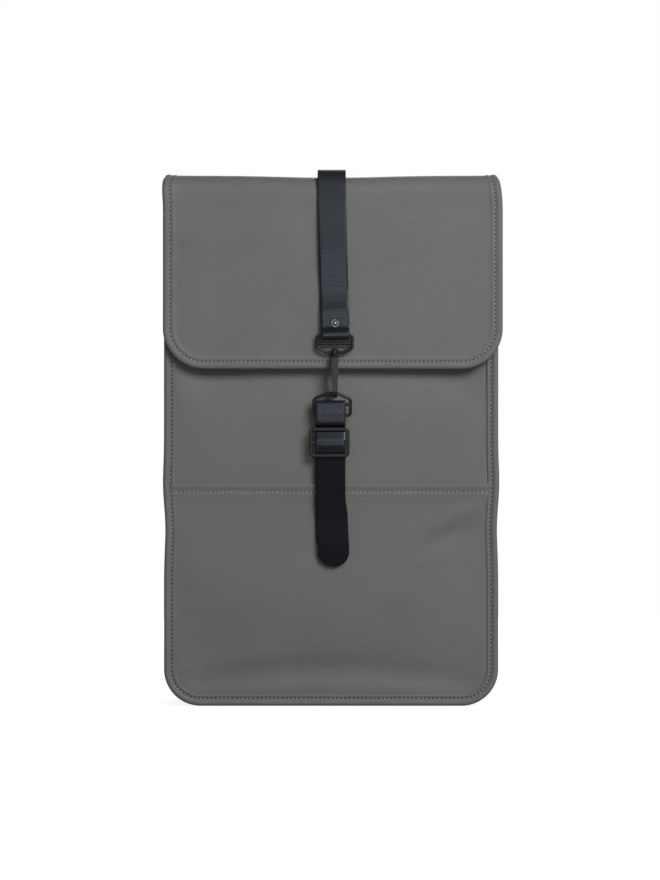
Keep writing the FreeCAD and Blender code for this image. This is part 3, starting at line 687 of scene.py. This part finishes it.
def rim(name, face_y, out, cad_node):
    """Rolled seam edge round a panel, with its stitches. out is -1 for the front and 1 for the back."""
    verts, faces = [], []
    rows = steps(R_BODY, MOUTH, 4.0)
    for d, h in RIM_SECTION:
        path, _ = u_line(HALF, R_BODY, rows, 4.0, d)
        count = len(path)
        for x, w in path:
            swell = 1 + 0.1 * soft(x, out, w, 26, 6) if h > 0 else 1
            verts.append((body_x(x, w), face_y + out * h * swell, w))
    for k in range(len(RIM_SECTION) - 1):
        for i in range(count - 1):
            a = k * count + i
            faces.append((a, a + 1, a + count + 1, a + count))
    line = [(Vector(v), Vector((0, out, 0))) for v in verts[STITCH_ROW * count:(STITCH_ROW + 1) * count]]
    length = 2 * (MOUTH - R_BODY) + math.pi * R_BODY + 2 * (HALF - R_BODY)
    cloth(name, (verts, faces), (0, out, 0), [cad_node], [CLOTH], 0.6,
          flat=(0.013, length * MM), held="stretched", rests_on=[cad_node])
    sew(name + "_stitches", [line])


STRAIGHT = MOUTH - R_BODY
UNDER = R_BODY * math.pi + 2 * (HALF - R_BODY)


def outline(s):
    """Point and outward direction on the bag's outline, s along it from the left top corner."""
    if s < STRAIGHT:
        return -HALF, MOUTH - s, -1.0, 0.0
    s -= STRAIGHT
    arc = R_BODY * math.pi / 2
    flat = 2 * (HALF - R_BODY)
    if s < arc:
        a = math.pi + s / R_BODY
        return -HALF + R_BODY * (1 + math.cos(a)), R_BODY * (1 + math.sin(a)), math.cos(a), math.sin(a)
    s -= arc
    if s < flat:
        return -HALF + R_BODY + s, 0.0, 0.0, -1.0
    s -= flat
    if s < arc:
        a = 1.5 * math.pi + s / R_BODY
        return HALF - R_BODY * (1 - math.cos(a)), R_BODY * (1 + math.sin(a)), math.cos(a), math.sin(a)
    return HALF, R_BODY + s - arc, 1.0, 0.0


SIDE_STITCH = 44.5


def side_strip(name, s0, s1, cad_node):
    """Side or base strip between the two rims, sunk along its middle as slack cloth is."""

    def surface(y, s):
        x, z, nx, nz = outline(s)
        middle = math.cos(y / DEPTH_HALF * math.pi / 2) ** 0.8 if abs(y) < DEPTH_HALF - 0.1 else 0
        fold = 2.6 * bell(y, 3 * soft(0, 0, z, 90, 17), 5)
        fold *= smoothstep(60, 110, z) * smoothstep(0, 90, MOUTH - z)
        wrinkle = 1.5 * soft(0, 0.5 * y + 0.7 * z, 0.5 * y - 0.2 * z, 17, 8) * smoothstep(20, 80, z)
        slack = 4.2 + 1.8 * soft(0, y, z, 48, 7) + fold + wrinkle
        sink = (slack * abs(nx) ** 2 * (0.4 + 0.6 * smoothstep(0, 60, MOUTH - z)) + 0.2) * middle
        return body_x(x, z) - nx * sink, y, z - nz * sink * abs(nx)

    ys = [-50, -49, -47, -44, -39, -32, -24, -16, -8, 0]
    ys += [-y for y in ys[-2::-1]]
    _, _, nx, nz = outline((s0 + s1) / 2)
    cloth(name, grid(ys, steps(s0, s1, 4.0), surface), (nx, 0, nz), [cad_node],
          flat=(0.1, (s1 - s0) * MM), held="stretched", rests_on=["front_welt", "back_welt"])
    lines = []
    for y in (-SIDE_STITCH, SIDE_STITCH):
        line = []
        for s in steps(s0, s1, 4.0):
            _, _, nx, nz = outline(s)
            line.append((Vector(surface(y, s)), Vector((nx, 0, nz))))
        lines.append(line)
    sew(name + "_stitches", lines)


def mouth_binding():
    """Tape folded over the bag's open edge."""
    r = 4.0
    line = []
    x, y = HALF - r, DEPTH_HALF - r
    for cx, cy, start in ((x, y, 0), (-x, y, 90), (-x, -y, 180), (x, -y, 270)):
        for k in range(7):
            a = math.radians(start + 15 * k)
            line.append((Vector((cx + (r - 0.7) * math.cos(a), cy + (r - 0.7) * math.sin(a), MOUTH - 4.2)),
                         Vector((0, 0, 1))))
    dense = []
    for (a, n), (b, _) in zip(line, line[1:] + line[:1]):
        count = max(1, int((b - a).length / 8))
        dense += [(a.lerp(b, i / count), n) for i in range(count)]
    obj = piping("mouth_binding", dense, 1.3, 4.6, LINING, True)
    place_on(obj, "bag")


QUILT_X = 44
QUILT_Z = (118, 228, 338)


def back_relief(x, z):
    """Padded back, outwards positive: three cushions with sewn channels between them."""
    d = min(HALF - abs(x), z) - 12
    cushion = 2.2 * smoothstep(0, 22, d) * smoothstep(372, 348, z)
    if cushion <= 0:
        return 0.0
    channel = max(bell(abs(x), QUILT_X, 2.4), *(bell(z, c, 2.4) for c in QUILT_Z))
    patch = bell(abs(x), 117, 24) * bell(z, 24, 22)
    return cushion * (1 - 0.9 * channel) * (1 - patch) + 0.3 * soft(x, 9, z, 40, 9) * smoothstep(0, 22, d)


def back_panel():
    def surface(x, w, d):
        z = w + PANEL_IN
        return body_x(x, z), BACK + 0.25 * smoothstep(0, 3, d) + back_relief(x, z), z

    rows = [w - PANEL_IN for w in steps(R_BODY, MOUTH, 3.0)]
    built = u_patch(HALF - PANEL_IN, R_BODY - PANEL_IN, rows, surface, 3.0, PANEL_RINGS)
    cloth("back_cloth", built, (0, 1, 0), ["back_panel"], [CLOTH, LINING],
          flat=(2 * HALF * MM, MOUTH * MM), held="stretched", rests_on=["back_foam"])
    lines = []
    out = Vector((0, 1, 0))

    def at(x, z):
        return Vector((body_x(x, z), BACK + 0.25 + back_relief(x, z), z)), out

    for x in (-QUILT_X, QUILT_X):
        lines.append([at(x, z) for z in steps(22, 352, 3)])
    for z in QUILT_Z:
        lines.append([at(x, z) for x in steps(-126, 126, 3)])
    sew("back_quilting", lines)


# --- inside
def foam():
    """Foam sheet against the back, in its lining cover, a little crowned and thinned along its edge."""
    lo, hi = (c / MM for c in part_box("back_foam"))
    mid = (lo.y + hi.y) / 2
    half_t = (hi.y - lo.y) / 2
    near_edge = {round(sign * q * hi.x, 3) for q in (0.92, 0.96, 0.985, 1) for sign in (1, -1)}
    xs = sorted(near_edge | set(steps(-115, 115, 8)))
    zs = [lo.z + q for q in (0, 2, 5, 10)] + steps(lo.z + 18, hi.z - 18, 8)
    zs += [hi.z - q for q in (10, 5, 2, 0)]

    def surface(x, z, side):
        d = min(hi.x - abs(x), z - lo.z, hi.z - z)
        thick = 0.45 + 0.5 * smoothstep(0, 10, d) + 0.04 * soft(x, side, z, 30, 11)
        return x, mid + side * half_t * thick, z

    obj = solid("foam_sheet", *shell(xs, zs, surface), [LINING])
    place_on(obj, "bag", ["back_foam"])


def sleeve():
    """Laptop sleeve: a pocket of lining cloth that stands off the foam, with a bound top edge."""
    lo, hi = (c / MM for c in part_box("laptop_sleeve"))

    def surface(x, z):
        stand = smoothstep(0, 16, hi.x - abs(x)) * smoothstep(0, 20, z - lo.z)
        slack = 1.0 * soft(x, 1, z, 60, 12) * stand
        return x, hi.y - 0.8 - (hi.y - lo.y - 2.2) * stand + slack, z

    xs = [-hi.x] + steps(-hi.x + 2, -hi.x + 20, 2) + steps(-hi.x + 26, hi.x - 26, 7)
    xs += steps(hi.x - 20, hi.x - 2, 2) + [hi.x]
    zs = steps(lo.z, lo.z + 20, 2)[:-1] + steps(lo.z + 20, hi.z, 7)
    cloth("laptop_sleeve_cloth", grid(xs, zs, surface), (0, -1, 0), ["laptop_sleeve"], [LINING], 1.0,
          slot="lining", flat=((2 * hi.x + 24) * MM, (hi.z - lo.z + 10) * MM), held="stretched",
          rests_on=["back_foam"])
    line = [(Vector(surface(x, hi.z - 3)) + Vector((0, 0.5, 0)), Vector((0, -1, 0))) for x in xs]
    place_on(piping("sleeve_binding", line, 4.0, 1.1, DARK_TAPE_AND_SHADED_TAIL), "bag")


# --- flap
FOLD_FRONT = 17.2
FOLD_BACK = 11.0
FLAP_MID_Y = edge("flap_front_panel", 1, 0) + FABRIC / 2
FLAP_BACK_Y = edge("flap_yoke", 1, 0) + FABRIC / 2
FLAP_MID_Z = TOP - FABRIC / 2


class Run:
    """A (y, z) path that can be asked for its point and outward normal at any length along it."""

    def __init__(self, points, radii, outward=1):
        self.path = rounded_path(points, radii, 0.5)
        self.lengths = walk(self.path)
        self.total = self.lengths[-1]
        self.outward = outward

    def at(self, s):
        s = min(max(s, 0.0), self.total)
        i = min(max(1, int(np.searchsorted(self.lengths, s))), len(self.path) - 1)
        q = (s - self.lengths[i - 1]) / max(1e-9, self.lengths[i] - self.lengths[i - 1])
        a, b = self.path[max(i - 2, 0)], self.path[min(i + 1, len(self.path) - 1)]
        t = (b - a).normalized()
        return self.path[i - 1].lerp(self.path[i], q), Vector((-t.y, t.x)) * self.outward

    def length_to(self, test):
        return next(s for s, p in zip(self.lengths, self.path) if test(p))


flap_run = Run([(FLAP_MID_Y, FLAP_LOW), (FLAP_MID_Y, FLAP_MID_Z), (FLAP_BACK_Y, FLAP_MID_Z),
                (FLAP_BACK_Y, YOKE_LOW)], [0, FOLD_FRONT, FOLD_BACK, 0])
FLAP_MIDDLE = flap_run.length_to(lambda p: p.y > FLAP_MID_Z - 0.01 and p.x > 0)
FLAP_FOLD = flap_run.length_to(lambda p: p.y > FLAP_MID_Z - 2.0)
flap_hem = profile([(0, -0.9), (0.3, -0.3), (0.9, 0.4), (2, 0.9), (3.6, 0.95), (5, 0.6), (5.8, 0.15),
                    (6.4, -0.1), (7, 0.1), (8, 0.5), (9.2, 0.55), (10.2, 0.2), (11.2, 0)])
FLAP_STITCH = 6.4
HEM_RINGS = [0, 0.15, 0.35, 0.6, 0.9, 1.4, 2, 2.8, 3.6, 4.4, 5, 5.5, 5.9, 6.2, 6.6, 7, 7.5, 8.1, 8.8, 9.4,
             9.9, 10.5, 11.2, 14, 18, 24]


def flap_point(x, s, d):
    """Point on the flap's outer face at length s up the front, over the top and down the back."""
    p, n = flap_run.at(s)
    if s < FLAP_MIDDLE:
        rise = min(1.0, max(0.0, (s - 150) / (FLAP_FOLD - 150)))
        full = FLAP_HALF - 0.9
        width = full - (full - FLAP_TOP_HALF) * (1 - math.sqrt(1 - rise * rise))
    else:
        to_yoke = smoothstep(flap_run.total - 74, flap_run.total - 50, s)
        width = FLAP_TOP_HALF + (YOKE_HALF - FLAP_TOP_HALF) * to_yoke
    x = x * width / FLAP_TOP_HALF + 1.5 * smoothstep(172, 140, s)
    front = smoothstep(150, 110, s)
    near_strap = 1 - bell(x, 2, 24)
    wave = (1.1 * soft(x, 3, s, 90, 13) + 0.35 * soft(x, 3, s, 34, 14)) * smoothstep(8, 40, d) * front
    lift = 2.6 * bell(x, -146, 34) * bell(s, 6, 34) + 1.2 * bell(x, 146, 30) * bell(s, 6, 30)
    sag = -1.1 * bell(s, 150, 22) * (1 - bell(x, 0, 60))
    out = FABRIC / 2 + flap_hem(d) + wave * near_strap + lift * front
    out += sag * near_strap * smoothstep(0, 30, d)
    dip = 2.0 * bell(x, 0, 60) * smoothstep(FLAP_MID_Z - 14, FLAP_MID_Z, p.y) * bell(s, FLAP_MIDDLE - 30, 60)
    return x, p.x + n.x * out, p.y + n.y * out - dip


YOKE_HALF = edge("flap_yoke", 0, 1)
YOKE_RADIUS = 14.0


def flap_part(name, radius, length, turn_round, bend, nodes, facing):
    """One half of the flap. turn_round is true for the half that is measured up from the yoke's edge."""

    def surface(x, w, d):
        return flap_point(x, flap_run.total - w if turn_round else w, d)

    rows = steps(radius, length, 3.2)
    built = u_patch(FLAP_TOP_HALF, radius, rows, surface, 4.5, HEM_RINGS)
    cloth(name, built, facing, nodes, thick=1.4, body=bend, flat=(2 * FLAP_HALF * MM, length * MM),
          held="draped", rests_on=["front_upper_panel", "back_panel"])
    path, _ = u_line(FLAP_TOP_HALF, radius, rows, 4.5, FLAP_STITCH)
    line = []
    for x, w in path:
        s = flap_run.total - w if turn_round else w
        _, n = flap_run.at(s)
        line.append((Vector(flap_point(x, s, FLAP_STITCH)), Vector((0, n.x, n.y))))
    sew(name + "_stitches", [line], bend)
    sew(name + "_inner_stitches", [[(p - n * 1.45, -n) for p, n in line]], bend)


FRONT_BEND = ("flap", "flap_front", (0, -38, 469.2), (0, -55.2, 452))
BACK_BEND = ("bag", "flap", (0, 50.8, 454.9), (0, 45, 469.2))


# --- strap over the flap
HANDLE_X = 0.5
SKEW_TOP = 452.0
SKEW = math.radians(1.5)
STRAP_FACE_Y = FLAP_MID_Y - FABRIC / 2 - 0.3 - WEB / 2
HANDLE_Z = edge("carry_handle", 2, 1) - WEB / 2
HANDLE_BACK_Y = edge("handle_tail", 1, 1) - WEB / 2


def skewed(x, y, z):
    """The closure strap's slight turn to one side, which grows in over the front fold."""
    drop = max(0.0, SKEW_TOP - z)
    angle = SKEW * smoothstep(0, 20, drop)
    return (HANDLE_X + x * math.cos(angle) + drop * math.sin(angle), y,
            z + drop * (1 - math.cos(angle)) + x * math.sin(angle))


def handle_and_closure():
    tip_z = edge("handle_tail", 2, 0)
    run = [(HANDLE_BACK_Y, tip_z), (HANDLE_BACK_Y, HANDLE_Z), (0, HANDLE_Z)], [0, 16, 0], 1.0
    strap("carry_handle_strap", run, lambda x, y, z: (HANDLE_X + x, y, z), STRAP, BACK_BEND,
          ["handle_tail", "carry_handle"], round_start=WEB_HALF, caps=False)
    # Down the flap, round the eye's bar, and back up behind itself
    front_layer, rear_layer = -60.2, -58.2
    loop_front, loop_rear, loop_low = -63.5, -57.7, 324
    run = ([(0, HANDLE_Z), (STRAP_FACE_Y, HANDLE_Z), (STRAP_FACE_Y, 366.7), (front_layer, 348.7),
            (front_layer, 334.1), (loop_front, 328.8), (loop_front, loop_low), (loop_rear, loop_low),
            (loop_rear, 328.4), (rear_layer, 333.1), (rear_layer, 346.7)],
           [0, 19, 40, 40, 3, 2, 2.9, 2.9, 2.5, 5, 0], 0.8)

    def bowed(x, y, z):
        out = 2.6 * smoothstep(462, 412, z) * smoothstep(352, 392, z) if y < -50 else 0.0
        return skewed(x, y - out, z)

    strap("closure_strap_webbing", run, bowed, STRAP, FRONT_BEND, ["closure_strap"], caps=False)


# --- adjusting strap
SWING_Y = -51.2
SWING_Z = 152.3
STRAP_X = -0.6
ADJUST_HALF = 13.2
LEAN = math.asin(0.05463)
LAYER = WEB + 0.1
# Heights above the strap's sewn line
SLIDER_H = 80.7
TAIL_HINGE_H = 31.75
CROSSOVER_RADII = [0, 3, 3, 3, 3, 0]


def crossover(h):
    """Corners of the webbing that rises over a slider's bar at height h, as (y, height) pairs."""
    return [(-2.1, h - 11.2), (-3.9, h - 8.6), (-6.9, h - 2.8),
            (-6.9, h + 2.8), (-3.9, h + 8.6), (-2.1, h + 11.2)]


def centred(x, y, z):
    """A strap's point, moved to the middle of the adjusting strap, which stands a little to one side."""
    return STRAP_X + x, y, z


def leaned(y, h):
    """A (y, height) point of the adjusting strap's own frame, as (y, z) of the bag."""
    return (SWING_Y + y * math.cos(LEAN) - h * math.sin(LEAN),
            SWING_Z + y * math.sin(LEAN) + h * math.cos(LEAN))


def adjusting_strap():
    loop = 2.65
    top = 114.2 + loop
    low = edge("strap_anchor", 2, 0)
    run = [(-50.95, low), (-50.95, SWING_Z - 6), leaned(0, 6), leaned(0, top), leaned(-2 * loop, top),
           leaned(-5.7, 106.6), leaned(-5.6, 98.2), leaned(-LAYER, 94.4), leaned(-LAYER, SLIDER_H - 2)]
    strap("adjusting_strap_webbing", (run, [0, 20, 20, loop, loop, 8, 2.2, 2.2, 0], 0.6), centred, STRAP_GREY,
          ("bag", "closure", (0, -51, 150), (0, -51, 157)), ["strap_anchor", "adjusting_strap"], ADJUST_HALF,
          round_start=WEB_HALF)

    tip = (edge("strap_tail", 2, 0) - SWING_Z) / math.cos(LEAN)
    run = [leaned(-LAYER, SLIDER_H - 2), leaned(-LAYER, 12), leaned(-4.2, -8), leaned(-4.5, tip)]
    hinge_z = leaned(0, TAIL_HINGE_H)[1]

    def skew_tail(x, y, z):
        drop = max(0.0, hinge_z - z)
        angle = math.radians(2.5) * smoothstep(0, 16, drop)
        return (STRAP_X + 0.7 * smoothstep(0, 16, drop) + x * math.cos(angle) + drop * math.sin(angle), y,
                z + drop * (1 - math.cos(angle)) + x * math.sin(angle))

    start = (0, *leaned(-LAYER, TAIL_HINGE_H + 7))
    end = (0, *leaned(-LAYER, TAIL_HINGE_H - 7))
    # The tail's darker webbing is painted shade, a shaded copy of the lower strap's webbing.
    strap("strap_free_tail", (run, [0, 30, 30, 0], 0.9), skew_tail, DARK_TAPE_AND_SHADED_TAIL,
          ("closure", "tail", start, end), ["strap_tail"],
          lambda s: ADJUST_HALF + 0.6 * smoothstep(40, 60, s), round_end=ADJUST_HALF)
    run = [leaned(*corner) for corner in crossover(SLIDER_H)], CROSSOVER_RADII, 0.6
    strap("slider_crossover_webbing", run, centred, STRAP_GREY, "slider", ["slider_crossover"],
          ADJUST_HALF - 0.05)


# --- shoulder straps
PAD_TOP = (36.0, 393.0)
SPLAY = math.radians(11)
PAD_END = 203  # down from the pad's top along its height
RING_BELOW_PAD = 16
ANCHOR_X, ANCHOR_Z = 118, 34


def shoulder_frame(side):
    """Maps (x, y, height) of the webbing's own frame, y towards the wearer, to the bag's frame."""
    anchor = Vector((side * ANCHOR_X, 52.8, ANCHOR_Z))
    across = PAD_TOP[0] + PAD_END * math.tan(SPLAY) + RING_BELOW_PAD * math.tan(SPLAY)
    target = Vector((side * across, 72, PAD_TOP[1] - PAD_END - RING_BELOW_PAD))
    span = target - anchor
    lean = math.asin(span.y / span.length)
    splay = math.atan2(side * span.x, span.z)
    turn = (Matrix.Translation(anchor) @ Matrix.Rotation(side * splay, 4, "Y")
            @ Matrix.Rotation(-lean, 4, "X") @ Matrix.Rotation(math.pi, 4, "Z"))
    return lambda x, y, z: turn @ Vector((x, y, z)), span.length


def shoulder_pad(side, name):
    """Padded strap: crowned, with a bound edge and a stitched line inside it."""
    run = Run([(54.3, 393), (56.8, 375), (92, 285), (75, 190)], [0, 60, 150, 0], -1)
    end_flat = run.total

    def half_at(s):
        q = end_flat - s
        base = 15.5 + 9.5 * smoothstep(0, 75, q)
        tip = math.sqrt(max(0.0, 1 - (1 - min(1, q / 7)) ** 2))
        top = 0.86 + 0.14 * math.sqrt(max(0.0, 1 - (1 - min(1, s / 9)) ** 2))
        return base * (0.72 + 0.28 * tip) * top

    def thick_at(u, s):
        across = (1 - abs(u) ** 3.2) ** 0.75
        ends = min(1, (s + 1.5) / 12, (end_flat - s + 1.5) / 12) ** 0.5
        groove = 1 - 0.45 * bell(abs(u) * half_at(s), half_at(s) - 6.5, 1.3)
        return 1.1 + 2.8 * across * ends * groove

    def point(u, s, out):
        p, n = run.at(s)
        reach = out * thick_at(u, s) + 0.25 * soft(u * 25, side, s, 30, 15) * (1 - u * u)
        x, y, z = u * half_at(s), p.x + n.x * reach, p.y + n.y * reach
        z -= PAD_TOP[1]
        return (side * PAD_TOP[0] + x * math.cos(SPLAY) - side * z * math.sin(SPLAY), y,
                PAD_TOP[1] + z * math.cos(SPLAY) + side * x * math.sin(SPLAY))

    us = [-1, -0.97, -0.92, -0.86, -0.8, -0.76, -0.72, -0.68, -0.6, -0.45, -0.25, 0]
    us += [-u for u in us[-2::-1]]
    ss = [0, 1, 2.5, 5, 8] + steps(12, end_flat - 12, 3.5) + [end_flat - q for q in (8, 5, 2.5, 1, 0)]
    verts, faces = shell(us, ss, point)
    front = (len(us) - 1) * (len(ss) - 1)
    obj = solid("shoulder_padding_" + name, verts, faces, [PAD_CLOTH, MESH_CLOTH],
                face_mats=[1] * front + [0] * (len(faces) - front))
    place_on(obj, "bag", ["shoulder_pad_" + name])

    border, stitch_lines = [], [[], []]
    for u, span in ((-1, ss), (1, ss[::-1])):
        for s in span:
            a, b = Vector(point(u, s, -1)), Vector(point(u, s, 1))
            border.append(((a + b) / 2, (b - a)))
    place_on(piping("pad_binding_" + name, border, 1.0, 1.9, DARK_TAPE_AND_SHADED_TAIL, True, 8), "bag")
    for i, sign in enumerate((-1, 1)):
        for s in steps(7, end_flat - 7, 3):
            u = sign * (1 - 6.5 / half_at(s))
            p = Vector(point(u, s, 1))
            stitch_lines[i].append((p, (p - Vector(point(u, s, -1))).normalized()))
    sew("pad_stitches_" + name, stitch_lines)


def shoulder(side, name):
    place, length = shoulder_frame(side)
    loop = 1.45 + 0.35 + WEB / 2
    slider_h = length - 34
    top = length + loop
    run = ([(0, -14), (0, top), (-2 * loop, top), (-2 * loop, length - 2), (-LAYER, slider_h + 14.8),
            (-LAYER, 26)], [0, loop, loop, 5, 5, 0], 0.9)
    strap("shoulder_strap_" + name, run, place, STRAP, "bag", ["shoulder_webbing_" + name],
          round_end=WEB_HALF)
    strap("shoulder_crossover_webbing_" + name, (crossover(slider_h), CROSSOVER_RADII, 0.6), place, STRAP,
          "slider_" + name, ["shoulder_crossover_" + name], WEB_HALF - 0.05)
    bar = length + 11
    close = WEB / 2 + 0.1
    end = bar + 16
    run = ([(-loop + close, end), (-loop + close, bar + 5.5), (0, bar + 1.5), (0, bar - loop),
            (-2 * loop, bar - loop), (-2 * loop, bar + 1.5), (-loop - close, bar + 5.5),
            (-loop - close, end)], [0, 3, 3, loop, loop, 3, 3, 0], 0.7)
    strap("pad_tab_webbing_" + name, run, place, STRAP, "bag", ["pad_tab_" + name])
    anchor_patch(side, name)


def anchor_patch(side, name):
    """Patch of body cloth over the webbing's sewn end, wider at its foot."""
    drop = PAD_END + RING_BELOW_PAD
    splay = math.atan2(PAD_TOP[0] + drop * math.tan(SPLAY) - ANCHOR_X, PAD_TOP[1] - drop - ANCHOR_Z)
    foot_half, head_half, tall = 22, 15.5, 20
    border = 10.8

    def patch_point(u, v):
        half = foot_half + (head_half - foot_half) * v
        x, z = u * half, -tall + tall * v
        c, s = math.cos(side * splay), math.sin(side * splay)
        wx, wz = side * ANCHOR_X + x * c + z * s, ANCHOR_Z - x * s + z * c
        wx = max(-HALF + border, min(HALF - border, wx))
        wz = max(border, wz)
        inside = min(abs(1 - abs(u)) * half, v * tall + 0.01, (1 - v) * tall + 0.01)
        rise = 3.2 - 1.4 * bell(inside, 0, 1.2) - 0.35 * bell(inside, 3.2, 0.8)
        return wx, BACK + rise, wz

    us = [-1, -0.95, -0.9, -0.85, -0.8, -0.6, -0.3, 0, 0.3, 0.6, 0.8, 0.85, 0.9, 0.95, 1]
    vs = [0, 0.05, 0.1, 0.15, 0.2, 0.35, 0.5, 0.65, 0.8, 0.85, 0.9, 0.95, 1]
    cloth("lower_patch_" + name, grid(us, vs, patch_point), (0, 1, 0), ["lower_anchor_" + name], [CLOTH], 1.4,
          flat=(0.044, 0.02), area=0.00075, held="laid", rests_on=["back_panel"])
    row = 0.84
    out = Vector((0, 1, 0))
    line = [(Vector(patch_point(u * row, 0.85)), out) for u in (-1, -0.5, 0, 0.5, 1)]
    side_lines = [[(Vector(patch_point(u, v)), out) for v in steps(0.15, 0.85, 0.1)] for u in (-row, row)]
    sew("patch_stitches_" + name, [line] + side_lines)


# --- CAD nodes that stay
def dress_hardware():
    """Finishes for the castings, rings, sliders, rivets and the gate's small parts."""
    finishes = {
        HARDWARE: ["hook_body", "hook_eye", "hook_gate", "closure_ring", "strap_slider", "shoulder_ring_left",
                   "shoulder_ring_right", "shoulder_slider_left", "shoulder_slider_right"],
        RIVET: ["strap_rivet", "rivet_washer", "anchor_rivet", "anchor_washer", "handle_rivet", "gate_pin"],
        STEEL: ["gate_spring"],
    }
    for finish, names in finishes.items():
        for name in names:
            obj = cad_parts[name]
            obj.data.materials.clear()
            obj.data.materials.append(finish)


def rivet_star(name, cad_node, body, out):
    """Bright raised spokes and centre on a rivet's dark cap. out is -1 where the cap faces the front."""
    lo, hi = (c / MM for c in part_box(cad_node))
    radius = (hi.z - lo.z) / 2
    centre = Vector(((lo.x + hi.x) / 2, lo.y if out < 0 else hi.y, (lo.z + hi.z) / 2))
    verts, faces = [], []
    spokes, rings, sides = 10, 4, 10
    rise = 0.42

    def bead(x, z, long, wide, turn, low):
        first = len(verts)
        for i in range(rings):
            a = math.pi / 2 * i / rings
            for k in range(sides):
                b = 2 * math.pi * k / sides
                u, v = long * math.cos(a) * math.cos(b), wide * math.cos(a) * math.sin(b)
                verts.append(centre + Vector((x + u * math.cos(turn) - v * math.sin(turn),
                                              -out * (low - rise * math.sin(a)),
                                              z + u * math.sin(turn) + v * math.cos(turn))))
        verts.append(centre + Vector((x, -out * (low - rise), z)))
        faces.extend(tube_faces(first, rings, sides))
        top = first + (rings - 1) * sides
        faces.extend((top + k, top + (k + 1) % sides, len(verts) - 1) for k in range(sides))
        faces.append(tuple(first + k for k in range(sides - 1, -1, -1)))

    reach = 0.64 * radius
    for i in range(spokes):
        turn = 2 * math.pi * (i + 0.5) / spokes
        bead(reach * math.cos(turn), reach * math.sin(turn), 0.17 * radius, 0.10 * radius, turn, 0.35)
    bead(0, 0, 0.24 * radius, 0.24 * radius, 0, 0.2)
    place_on(solid(name, verts, faces, [RIVET_STAR]), body)


# --- stage
# Metres and watts from here on
WORLD_LIGHT = 0.09
FLOOR_GLOW = 0.9
KEY_POWER = 43.0
FRONT_POWER = 2.6
LOW_POWER = 0.6
BACK_POWER = 45.0


def floor_and_light():
    side, near, far = 4.0, -4.0, 1.2
    corners = [(-side, near, 0), (side, near, 0), (side, far, 0), (-side, far, 0)]
    data = bpy.data.meshes.new("floor")
    data.from_pydata(corners, [], [(0, 1, 2, 3)])
    floor = bpy.data.objects.new("floor", data)
    bpy.context.collection.objects.link(floor)
    floor.location.z = -0.0012
    material, nodes = new_material("floor_white")
    nodes.put("Base Color", (0.42, 0.42, 0.42, 1))
    nodes.put("Roughness", 0.9)
    nodes.put("Specular IOR Level", 0.0)
    nodes.put("Emission Color", (1, 1, 1, 1))
    away = nodes.add("VectorMath", {0: nodes.place()}, operation="LENGTH").outputs["Value"]
    seen = nodes.add("LightPath").outputs["Is Camera Ray"]
    glow = nodes.spread(away, FLOOR_GLOW, 1.0, 1.0, 0.4)
    nodes.put("Emission Strength", nodes.math("MULTIPLY", seen, glow))
    data.materials.append(material)
    floor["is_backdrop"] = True

    world = bpy.data.worlds.new("studio")
    bpy.context.scene.world = world
    world.use_nodes = True
    nodes = Nodes(world.node_tree, "Background")
    nodes.put("Color", (1, 1, 1, 1))
    rays = nodes.add("LightPath").outputs
    seen = nodes.math("MAXIMUM", rays["Is Camera Ray"], rays["Is Transmission Ray"])
    nodes.put("Strength", nodes.spread(seen, WORLD_LIGHT, 1.0, 0.5, 0.5))

    def area(name, location, size, power):
        light = bpy.data.lights.new(name, "AREA")
        light.shape = "RECTANGLE"
        light.size, light.size_y = size
        light.energy = power
        obj = bpy.data.objects.new(name, light)
        obj.location = location
        obj.rotation_euler = (Vector((0, 0, 0.24)) - Vector(location)).to_track_quat("-Z", "Y").to_euler()
        bpy.context.collection.objects.link(obj)

    area("key", (0.95, -1.8, 1.5), (1.1, 1.1), KEY_POWER)
    area("front", (0.10, -2.3, 0.46), (0.34, 0.30), FRONT_POWER)
    area("low", (0.05, -2.2, 0.12), (0.34, 0.2), LOW_POWER)
    area("back", (0.3, 2.4, 1.3), (1.5, 1.5), BACK_POWER)


def camera():
    sensor, standoff, view_height = 36, 2.5, 0.7788
    data = bpy.data.cameras.new("camera")
    cam = bpy.data.objects.new("camera", data)
    bpy.context.collection.objects.link(cam)
    cam.location = (-0.001, -2.55, 0.2348)
    cam.rotation_euler = (math.pi / 2, 0, 0)
    data.sensor_fit = "VERTICAL"
    data.sensor_height = sensor
    data.lens = sensor * standoff / view_height
    bpy.context.scene.camera = cam
    bpy.context.scene.view_settings.view_transform = "Standard"


front_panels()
rim("front_rim", FRONT, -1, "front_welt")
rim("back_rim", BACK, 1, "back_welt")
side_strip("left_side_cloth", 0, STRAIGHT, "left_gusset")
side_strip("base_cloth", STRAIGHT, STRAIGHT + UNDER, "base_panel")
side_strip("right_side_cloth", STRAIGHT + UNDER, 2 * STRAIGHT + UNDER, "right_gusset")
mouth_binding()
back_panel()
foam()
sleeve()
flap_part("flap_front_cloth", R_FLAP, FLAP_MIDDLE, False, FRONT_BEND, ["flap_front_panel"], (0, -1, 0.3))
flap_part("flap_back_cloth", YOKE_RADIUS, flap_run.total - FLAP_MIDDLE, True, BACK_BEND,
          ["flap_yoke", "flap_top_panel"], (0, 1, 1))
handle_and_closure()
adjusting_strap()
for side_sign, side_name in ((-1, "left"), (1, "right")):
    shoulder_pad(side_sign, side_name)
    shoulder(side_sign, side_name)
dress_hardware()
rivet_star("strap_rivet_star", "strap_rivet", "flap_front", -1)
rivet_star("anchor_rivet_star", "anchor_rivet", "bag", -1)
rivet_star("handle_rivet_star", "handle_rivet", "bag", 1)
floor_and_light()
camera()

cad_box = [[list(c) for c in (cad_lo, cad_hi)], [list(c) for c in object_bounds()]]
